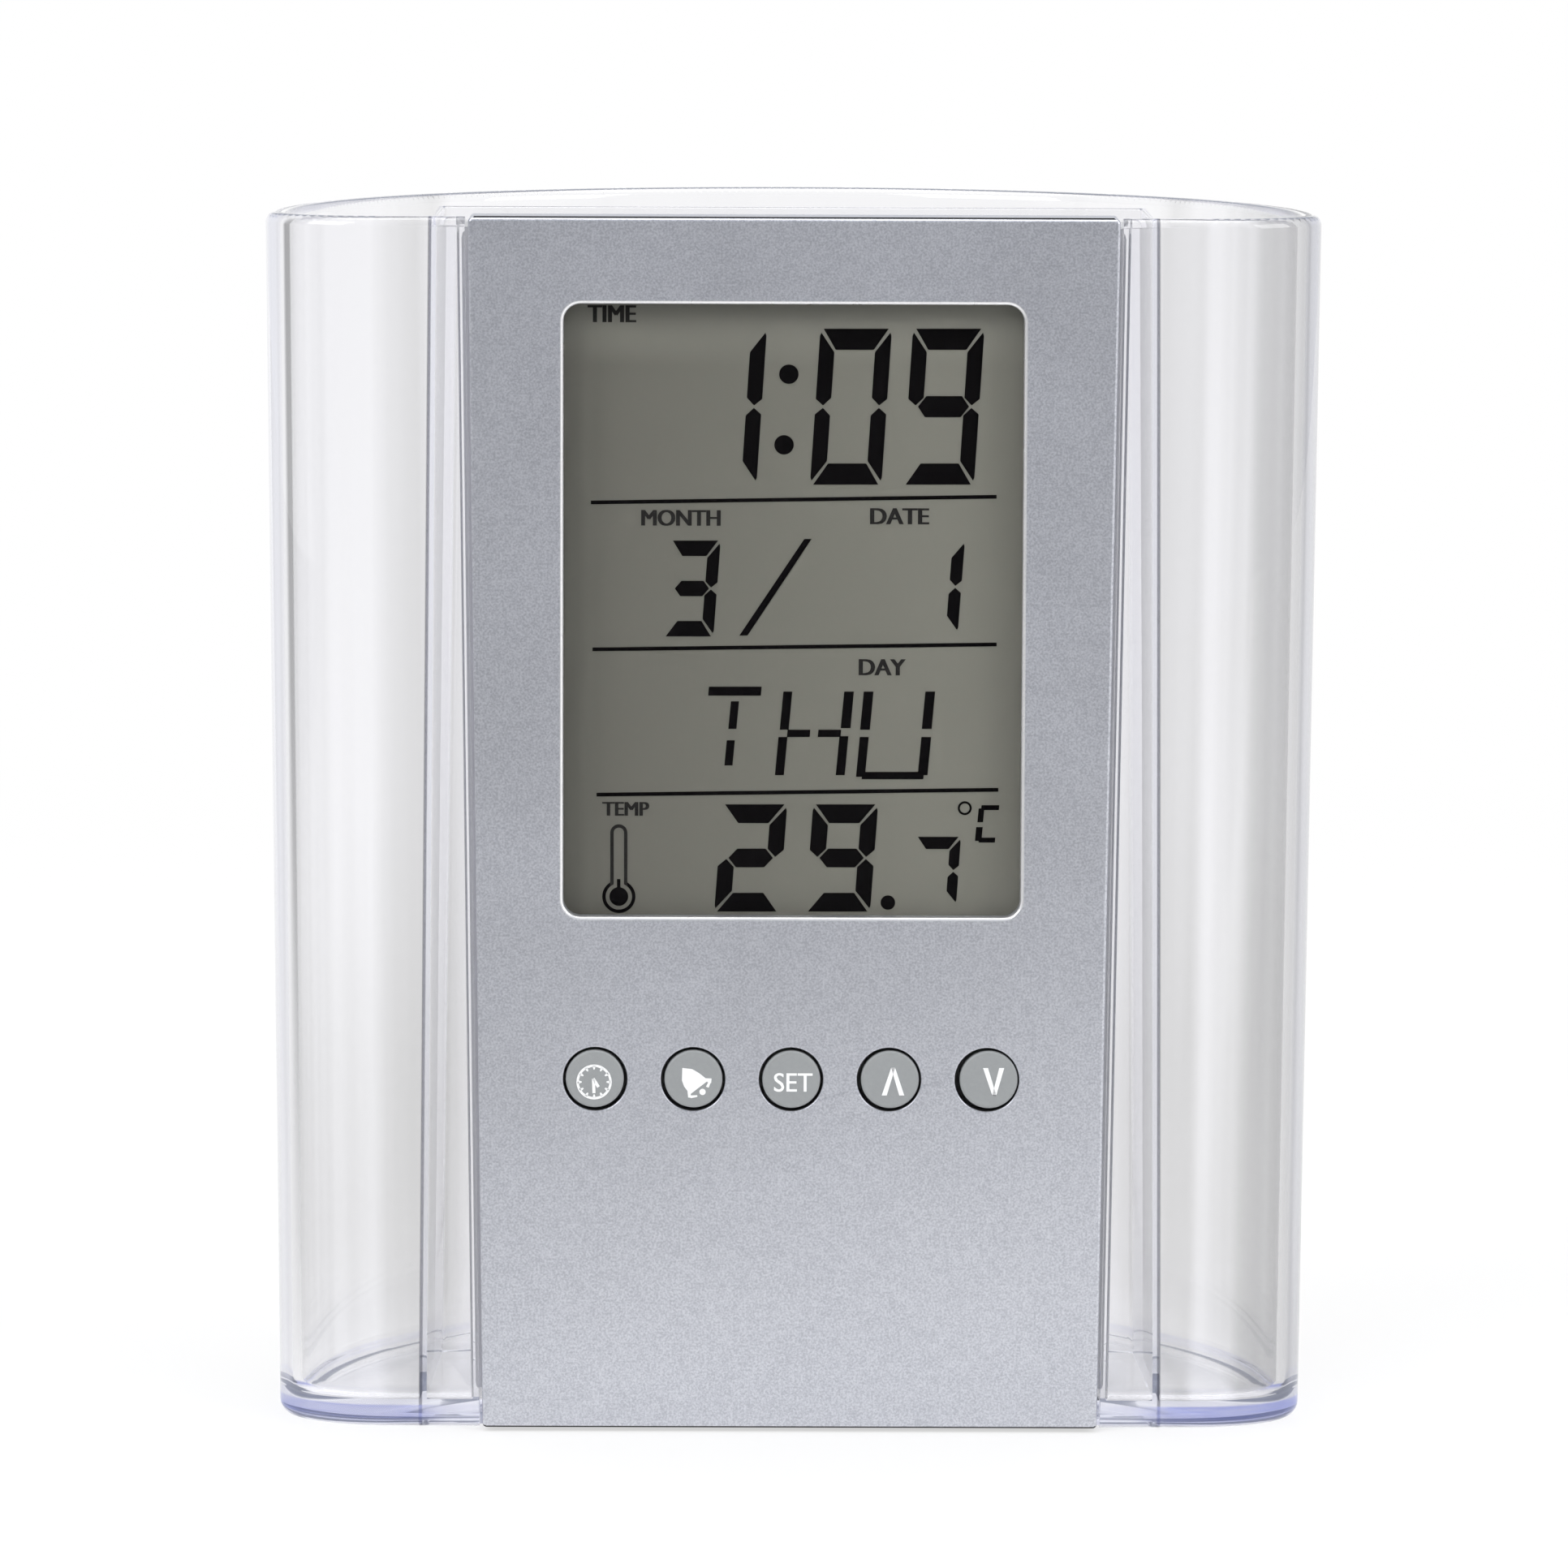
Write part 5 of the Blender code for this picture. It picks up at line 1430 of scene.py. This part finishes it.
@dataclass(frozen=True)
class Print:
    """Thin marks on an upright plane, placed by pixels of the photograph."""

    face: float
    depth: float
    relief: float = 0.1
    curve_steps: int = 4
    weld: float = 1e-4

    def place(self, pixel: Point) -> Point:
        """Find where a pixel lies on the plane."""
        return CAMERA.on_plane(pixel, self.face)

    def plate(self, name: str, outline: Sequence[Point]) -> Workpiece:
        """Cut one mark from its convex outline, clockwise as printed."""
        corners = [self.place(pixel) for pixel in reversed(outline)]
        return cut_plate(name, corners, self.face, self.depth)

    def bar(self, name: str, start: Point, end: Point, width: float,
            end_width: float | None = None) -> Workpiece:
        """Cut a straight stroke from one pixel to another.

        Args:
            name: Name of the piece.
            start: Middle of one end.
            end: Middle of the other end.
            width: Width of the stroke at its start.
            end_width: Width at its end, if that differs.

        Returns:
            The stroke.
        """
        along = Vector((end[0] - start[0], end[1] - start[1])).normalized()
        side = Vector((along.y, -along.x)) / 2
        last = width if end_width is None else end_width
        corners = [(start[0] + side.x * width, start[1] + side.y * width),
                   (end[0] + side.x * last, end[1] + side.y * last),
                   (end[0] - side.x * last, end[1] - side.y * last),
                   (start[0] - side.x * width, start[1] - side.y * width)]
        return self.plate(name, corners)

    def dot(self, name: str, middle: Point, radius: float, deeper: float = 1.0,
            steps: int = 32) -> Workpiece:
        """Make one round mark."""
        x, z = self.place(middle)
        edge_x, _ = self.place((middle[0] + radius, middle[1]))
        return Workpiece.rod(name, (x, self.face + self.depth / 2, z), edge_x - x,
                             self.depth * deeper, steps)

    def ring(self, name: str, middle: Point, radius: float, line: float) -> Workpiece:
        """Make a round line of a width, inside a radius."""
        ring = self.dot(name, middle, radius)
        ring.combine(Join.DIFFERENCE, self.dot("bore", middle, radius - line, 3.0))
        return ring

    def word(self, name: str, text: str, box: Box,
             strike: float) -> Workpiece:
        """Write a short plain word that fills a box, struck twice to make it bold.

        Args:
            name: Name of the piece.
            text: The letters.
            box: Left, top, right and bottom in the photograph.
            strike: Step from the first to the second strike, as a share of the letters.

        Returns:
            The word as a flat closed mesh.
        """
        left, high = self.place(box[:2])
        right, low = self.place(box[2:])
        bpy.ops.object.select_all(action="DESELECT")
        bpy.ops.object.text_add(rotation=(pi / 2, 0, 0))
        letters = bpy.context.object.data
        letters.body, letters.extrude = text, self.relief
        letters.resolution_u = self.curve_steps
        bpy.ops.object.convert(target="MESH")
        word = Workpiece(name)
        with word.editing():
            word.pick_all()
            bpy.ops.mesh.remove_doubles(threshold=self.weld)
            word.face_outward()
        word.combine(Join.UNION, word.copy("second_strike", (strike, 0, 0)))
        spots = [vertex.co for vertex in word.thing.data.vertices]
        near = Vector([min(spot[i] for spot in spots) for i in range(3)])
        far = Vector([max(spot[i] for spot in spots) for i in range(3)])
        scale = ((right - left) / (far.x - near.x), self.depth / (far.y - near.y),
                 (high - low) / (far.z - near.z))
        with word.editing():
            word.pick_all()
            word.size(scale)
            word.shift((left - near.x * scale[0], self.face - near.y * scale[1],
                        low - near.z * scale[2]))
        return word

    def gather(self, name: str, marks: Sequence[Workpiece], body: str, slot: str,
               ink: bpy.types.Material, others: Sequence[tuple] = ()) -> None:
        """Join marks into one piece and dress it."""
        first = marks[0]
        first.thing.name = first.thing.data.name = name
        if len(marks) > 1:
            first.take_in(marks[1:])
        first.settle(body, slot, ink, others=others)


@dataclass
class Legends:
    """White marks of the five buttons: a clock, a bell, a word and two arrows."""

    print: Print
    ink: bpy.types.Material
    strike: float = 0.02
    word_box: Box = (953.6, 1322.2, 1001.2, 1345.4)
    clock_middle: Point = (732.0, 1333.2)
    clock_radius: float = 21.8
    clock_line: float = 3.0
    tick: float = 5.0
    tick_width: float = 4.4
    hour_hand: tuple[Point, Point] = ((730.8, 1329.0), (737.4, 1339.4))
    minute_hand: tuple[Point, Point] = ((731.2, 1329.2), (731.8, 1347.0))
    hand_width: float = 3.8
    bell: tuple[tuple[Point, ...], ...] = (
        ((840.6, 1315.9), (852.9, 1317.3), (862.0, 1322.7), (869.3, 1328.6), (871.1, 1332.5),
         (850.6, 1348.2), (847.3, 1344.5), (843.1, 1339.1), (840.2, 1331.4)),
        ((869.1, 1328.6), (876.7, 1328.9), (876.3, 1334.6), (871.6, 1333.4)),
        ((874.0, 1331.0), (876.7, 1331.0), (873.3, 1340.2), (869.8, 1339.0)),
        ((847.0, 1344.5), (851.1, 1348.6), (852.0, 1352.7), (847.9, 1352.3)),
        ((850.6, 1349.8), (859.0, 1349.4), (859.2, 1351.6), (851.0, 1353.2)),
    )
    clapper: Point = (865.6, 1345.4)
    clapper_radius: float = 3.9
    up: tuple[tuple[Point, ...], ...] = (
        ((1098.0, 1315.8), (1103.0, 1315.8), (1092.6, 1349.8), (1086.4, 1349.8)),
        ((1098.0, 1315.8), (1103.0, 1315.8), (1114.2, 1349.8), (1108.0, 1349.8)))
    down: tuple[tuple[Point, ...], ...] = (
        ((1211.2, 1316.0), (1217.4, 1316.0), (1227.6, 1349.8), (1222.6, 1349.8)),
        ((1231.2, 1316.0), (1237.4, 1316.0), (1227.6, 1349.8), (1222.6, 1349.8)))

    def clock(self) -> list[Workpiece]:
        """Draw the dial: its ring, twelve ticks and two hands."""
        x, y = self.clock_middle
        inner = self.clock_radius - self.clock_line / 2
        marks = [self.print.ring("dial", self.clock_middle, self.clock_radius,
                                 self.clock_line)]
        for hour in range(12):
            turn = hour * pi / 6
            far = (x + inner * sin(turn), y - inner * cos(turn))
            reach = inner - self.tick
            near = (x + reach * sin(turn), y - reach * cos(turn))
            marks.append(self.print.bar("tick", far, near, self.tick_width,
                                        self.tick_width / 3))
        for start, end in (self.hour_hand, self.minute_hand):
            marks.append(self.print.bar("hand", start, end, self.hand_width))
        return marks

    def flat_parts(self, outlines: Sequence[Sequence[Point]]) -> list[Workpiece]:
        """Cut a mark out of its convex parts."""
        return [self.print.plate("part", outline) for outline in outlines]

    def build(self) -> None:
        """Make every legend, each on its button."""
        bell = self.flat_parts(self.bell)
        bell.append(self.print.dot("clapper", self.clapper, self.clapper_radius))
        word = self.print.word("set_word", "SET", self.word_box, self.strike)
        rows = {"button_clock": self.clock(), "button_bell": bell, "button_set": [word],
                "button_up": self.flat_parts(self.up),
                "button_down": self.flat_parts(self.down)}
        for name, marks in rows.items():
            self.print.gather(f"{name}_legend", marks, name, name, self.ink)


@dataclass
class Buttons:
    """Five round caps in a row, each with a white legend."""

    pitch: float = 8.55 * MM
    level: float = 31.3 * MM
    face: float = -24.57 * MM
    flange_front: float = -22.8 * MM
    radius: float = 2.53 * MM
    flange_radius: float = 3.4 * MM
    flange: float = 0.7 * MM
    stem_radius: float = 1.6 * MM
    edge: float = 0.22 * MM
    ink: float = 0.03 * MM
    names: tuple[str, ...] = ("button_clock", "button_bell", "button_set", "button_up",
                              "button_down")
    play: tuple[Point, ...] = ((-0.03 * MM, 0.03 * MM), (0.03 * MM, 0.03 * MM),
                               (0.02 * MM, 0.01 * MM), (0.08 * MM, 0.02 * MM),
                               (0.15 * MM, 0.03 * MM))

    def places(self) -> list[float]:
        """Return the x of each cap."""
        return [self.pitch * (i - 2) for i in range(5)]

    def cap(self, high: float) -> Workpiece:
        """Model one cap at the middle of the row.

        Args:
            high: The y of its stem's end.

        Returns:
            The cap.
        """
        depth = self.flange_front - self.face
        cap = Workpiece.rod("cap", (0, self.face + depth / 2, self.level), self.radius, depth,
                            ROUND)
        with cap.editing():
            cap.pick(Part.FACE, lambda f: f.normal.y > 0.9)
            bpy.ops.mesh.inset(thickness=self.radius - self.flange_radius)
            cap.pull((0, self.flange, 0))
            bpy.ops.mesh.inset(thickness=self.flange_radius - self.stem_radius)
            cap.pull((0, high - self.flange_front - self.flange, 0))
            cap.bevel(lies_at(1, self.face), self.edge, 4)
        cap.smooth(35)
        return cap

    def build(self) -> None:
        """Model the caps and their legends."""
        plastic = Moulded("button_plastic", (0.285, 0.298, 0.305), (0.42, 0.5), 3200.0,
                          0.006 * MM, 0.06, 0.05).build()
        _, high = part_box("button_set")
        master = self.cap(high.y)
        for name, x, (aside, up) in zip(self.names, self.places(), self.play):
            cap = master.copy(f"{name}_cap", (x + aside, 0, up))
            cap.settle(name, name, plastic, (name,))
        bpy.data.objects.remove(master.thing)
        white = Moulded("legend_white", (0.86, 0.87, 0.88), (0.4, 0.5), 4000.0, 0.002 * MM,
                        0.03, 0.0).build()
        Legends(Print(self.face - self.ink, 2 * self.ink), white).build()


class Stroke(Enum):
    """Strokes of a seven-stroke digit."""

    TOP = "a"
    HIGH_RIGHT = "b"
    LOW_RIGHT = "c"
    BOTTOM = "d"
    LOW_LEFT = "e"
    HIGH_LEFT = "f"
    MIDDLE = "g"


LIT = {"0": "abcdef", "1": "bc", "2": "abged", "3": "abgcd", "7": "abc", "9": "abcdfg"}


@dataclass(frozen=True)
class Digit:
    """One slanted digit of the display, in pixels of the photograph."""

    sign: str
    left: float
    top: float
    width: float
    height: float
    slant: float
    bar: float
    post: float
    gap: float = 3.0

    def corners(self, stroke: Stroke) -> list[Point]:
        """Return a stroke's corners in an upright cell, clockwise from its upper left."""
        w, h, bar, post, gap = self.width, self.height, self.bar, self.post, self.gap
        half, tip = gap / 2, post / 2
        upper = [(w - half, gap * 1.6), (w, gap * 3), (w, h / 2 - tip), (w - tip, h / 2 - half),
                 (w - post, h / 2 - tip - half), (w - post, bar + gap)]
        shapes = {
            Stroke.TOP: [(gap * 1.3, 0), (w - gap * 1.3, 0), (w - post - half, bar),
                         (post + half, bar)],
            Stroke.HIGH_RIGHT: upper,
            Stroke.MIDDLE: [(tip + gap, h / 2), (post + gap, (h - bar) / 2),
                            (w - post - gap, (h - bar) / 2), (w - tip - gap, h / 2),
                            (w - post - gap, (h + bar) / 2), (post + gap, (h + bar) / 2)],
        }
        if stroke in shapes:
            return shapes[stroke]
        if stroke is Stroke.BOTTOM:
            return [(x, h - y) for x, y in reversed(shapes[Stroke.TOP])]
        if stroke is Stroke.LOW_RIGHT:
            return [(x, h - y) for x, y in reversed(upper)]
        if stroke is Stroke.HIGH_LEFT:
            return [(w - x, y) for x, y in reversed(upper)]
        return [(w - x, h - y) for x, y in upper]

    def outlines(self) -> list[list[Point]]:
        """Return the lit strokes' outlines in the photograph."""
        rows = []
        for stroke in Stroke:
            if stroke.value in LIT[self.sign]:
                rows.append([(self.left + x + self.slant * (1 - y / self.height), self.top + y)
                             for x, y in self.corners(stroke)])
        return rows


@dataclass
class Display:
    """Dark marks of the display, on the film behind the clear cover."""

    film: float = -21.6 * MM
    ink: float = 0.04 * MM
    dark_tone: Triple = (0.0012, 0.0008, 0.0012)
    faint_tone: Triple = (0.014, 0.013, 0.013)
    lean: float = 0.096
    time: tuple[Digit, ...] = (
        Digit("1", 844, 405, 88, 192, 13, 26, 19),
        Digit("0", 998, 405, 88, 192, 13, 26, 19),
        Digit("9", 1112, 405, 88, 192, 13, 26, 19),
    )
    colon: tuple[Point, ...] = ((972, 461), (966, 548))
    colon_radius: float = 12.0
    date: tuple[Digit, ...] = (
        Digit("3", 817, 666, 62, 118, 9, 19, 15, 2.4),
        Digit("1", 1118, 666, 62, 114, 9, 19, 15, 2.4),
    )
    slash: tuple[Point, ...] = ((991, 664), (1000, 664), (921, 783), (911, 783))
    temperature: tuple[Digit, ...] = (
        Digit("2", 880, 991, 80, 132, 10, 23, 20, 2.6),
        Digit("9", 992, 991, 80, 132, 10, 23, 20, 2.6),
        Digit("7", 1122, 1031, 56, 84, 6, 15, 13, 2.2),
    )
    point: Point = (1094, 1112)
    point_radius: float = 9.0
    rules: tuple[tuple[Point, Point], ...] = (
        ((728, 619), (1228, 612)), ((730, 800), (1228, 794)), ((735, 979), (1230, 973)))
    rule_width: float = 4.6
    strike: float = 0.085
    words: tuple[tuple[str, Box], ...] = (
        ("TIME", (724, 376, 784, 397)), ("MONTH", (790, 628, 888, 648)),
        ("DATE", (1072, 626, 1145, 646)), ("DAY", (1058, 812, 1116, 832)),
        ("TEMP", (742, 988, 800, 1005)))
    day: tuple[Box, ...] = (
        (873, 846, 938, 857), (899, 864, 909, 898), (894, 912, 904, 943),
        (963, 852, 974, 899), (957, 908, 968, 955), (1038, 852, 1050, 897),
        (1032, 907, 1043, 955), (970, 899, 998, 908), (1008, 899, 1036, 908),
        (1062, 852, 1074, 899), (1057, 908, 1068, 957), (1138, 852, 1150, 898),
        (1133, 908, 1145, 955), (1062, 951, 1138, 960))
    degree: Point = (1188.7, 995.7)
    degree_radius: float = 8.6
    degree_line: float = 2.6
    unit: tuple[Box, ...] = (
        (1209, 992, 1231, 998), (1205, 996, 1212, 1013), (1202, 1019, 1210, 1036),
        (1206, 1032, 1226, 1038))
    bulb: Point = (762.5, 1104.5)
    bulb_radius: float = 20.5
    tube_radius: float = 10.6
    tube_top: float = 1026.0
    glass_line: float = 4.2
    liquid_radius: float = 11.6
    stem: tuple[Point, Point] = ((762.3, 1083.0), (762.4, 1096.0))
    stem_width: float = 4.4
    faint: tuple[str, ...] = ("display_thermometer", "display_words")
    liquid_share: float = 0.62
    stem_share: float = 0.16
    stem_reach: float = 1.1

    def leaning(self, box: Box) -> list[Point]:
        """Return the corners of a box that leans as the digits do."""
        left, top, right, bottom = box
        shift = self.lean * (bottom - top) / 2
        return [(left + shift, top), (right + shift, top), (right - shift, bottom),
                (left - shift, bottom)]

    def digits(self, inks: Print, name: str, row: Sequence[Digit]) -> list[Workpiece]:
        """Cut every lit stroke of a row of digits."""
        return [inks.plate(f"{name}_stroke", outline) for digit in row
                for outline in digit.outlines()]

    def keyhole(self, inks: Print, name: str, inset: float, deeper: float) -> Workpiece:
        """Make the outline of the thermometer as a solid, drawn in by an inset."""
        middle, top = self.bulb, (self.bulb[0], self.tube_top)
        radius = self.tube_radius - inset
        left, low = inks.place((middle[0] - radius, middle[1]))
        right, high = inks.place((top[0] + radius, top[1]))
        centre, half = inks.face + inks.depth / 2, inks.depth * deeper / 2
        solid = Workpiece.block(name, (left, centre - half, low), (right, centre + half, high))
        solid.combine(Join.UNION, inks.dot("bulb", middle, self.bulb_radius - inset, deeper),
                      inks.dot("tube_end", top, radius, deeper))
        return solid

    def is_liquid(self, inks: Print, face: bpy.types.MeshPolygon) -> bool:
        """Say whether a face of the thermometer belongs to its liquid or stem."""
        x, z = inks.place(self.bulb)
        top = inks.place(self.stem[0])[1]
        reach = top - z
        off_x, off_z = abs(face.center.x - x), face.center.z - z
        return (hypot(off_x, off_z) < reach * self.liquid_share
                or (off_x < reach * self.stem_share and 0 < off_z < reach * self.stem_reach))

    def thermometer(self, inks: Print) -> list[Workpiece]:
        """Draw the thermometer: its glass as a line, its liquid and a short stem."""
        glass = self.keyhole(inks, "thermometer_glass", 0.0, 1.0)
        glass.combine(Join.DIFFERENCE, self.keyhole(inks, "bore", self.glass_line, 3.0))
        return [glass, inks.dot("liquid", self.bulb, self.liquid_radius),
                inks.bar("stem", *self.stem, self.stem_width)]

    def build(self) -> None:
        """Make all the marks."""
        ink, faint = [Moulded(name, tone, (0.5, 0.6), 4000.0, 0.002 * MM, 0.15, 0.0,
                              0.05).build()
                      for name, tone in (("display_ink", self.dark_tone),
                                         ("display_faint_ink", self.faint_tone))]
        inks = Print(self.film - self.ink, self.ink)
        words = [inks.word(text.lower(), text, box, self.strike) for text, box in self.words]
        rules = [inks.bar("rule", *ends, self.rule_width) for ends in self.rules]
        colon = [inks.dot("colon", middle, self.colon_radius) for middle in self.colon]
        rows = {
            "display_time": self.digits(inks, "time", self.time) + colon,
            "display_date": self.digits(inks, "date", self.date)
                            + [inks.plate("slash", self.slash)],
            "display_day": [inks.plate("day_stroke", self.leaning(box)) for box in self.day],
            "display_temperature": self.digits(inks, "temperature", self.temperature)
                                   + [inks.dot("point", self.point, self.point_radius)],
            "display_unit": [inks.ring("degree", self.degree, self.degree_radius,
                                       self.degree_line)]
                            + [inks.plate("unit_stroke", self.leaning(box))
                               for box in self.unit],
            "display_thermometer": self.thermometer(inks),
            "display_words": words,
            "display_rules": rules,
        }
        filled = {"display_thermometer": [(ink, lambda face: self.is_liquid(inks, face))]}
        for name, marks in rows.items():
            inks.gather(name, marks, "clock_module", "lcd_cell",
                        faint if name in self.faint else ink, filled.get(name, ()))


def dress_nodes() -> None:
    """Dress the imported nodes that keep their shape."""
    shell_gloss = (0.42, 0.52)
    dressed = (
        (Moulded("shell_grey", (0.46, 0.465, 0.48), shell_gloss, 2400.0), "rear_shell"),
        (Moulded("door_grey", (0.44, 0.445, 0.46), shell_gloss, 2400.0), "battery_door"),
        (Moulded("frame_white", (0.78, 0.78, 0.75)), "lcd_frame"),
        (Moulded("keypad_rubber", (0.55, 0.55, 0.56), (0.6, 0.7), 1500.0), "keypad"),
        (Moulded("zebra_rubber", (0.30, 0.14, 0.12), (0.55, 0.65)), "contact_strip_upper",
         "contact_strip_lower"),
        (Moulded("cast_epoxy", (0.02, 0.02, 0.022), (0.12, 0.25), 800.0, 0.03 * MM),
         "chip_cover"),
        (Moulded("capacitor_sleeve", (0.02, 0.025, 0.05), (0.25, 0.35)), "capacitor"),
        (Moulded("sensor_coat", (0.35, 0.12, 0.04), (0.15, 0.3), 900.0),
         "temperature_sensor"),
        (Moulded("wire_red", (0.55, 0.02, 0.02), (0.3, 0.4)), "lead_plus", "lead_buzzer_a"),
        (Moulded("wire_black", (0.02, 0.02, 0.02), (0.3, 0.4)), "lead_minus",
         "lead_buzzer_b"),
        (Moulded("cell_glass", (0.16, 0.17, 0.15), (0.05, 0.1)), "lcd_cell"),
        (Moulded("reflector_foil", (0.55, 0.56, 0.52), (0.35, 0.45), 3500.0),
         "lcd_reflector"),
        (Metal("buzzer_brass", (0.72, 0.52, 0.22), (0.2, 0.35)), "piezo_buzzer"),
        (DisplayFilm("display_film"), "lcd_front_polariser"),
        (CircuitLacquer("board_lacquer"), "circuit_board"),
        (CellSleeve("cell_sleeve_lower", 1), "battery_cell_lower"),
        (CellSleeve("cell_sleeve_upper", -1), "battery_cell_upper"),
        (ClearPane("window_pane"), "display_window"),
    )
    looks = {}
    for finish, *names in dressed:
        looks.update(dict.fromkeys(names, finish.build()))
    steel = Metal("plated_steel").build()
    for name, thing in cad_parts.items():
        thing.data.materials.clear()
        thing.data.materials.append(looks.get(name, steel))


def main() -> None:
    """Build the scene in order."""
    logging.basicConfig(level=logging.INFO, format="%(name)s: %(message)s")
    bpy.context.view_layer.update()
    buttons = Buttons()
    dress_nodes()
    ClearCup().build()
    SilverFront().build(buttons)
    buttons.build()
    Display().build()
    Studio().build()


if __name__ == "__main__":
    main()
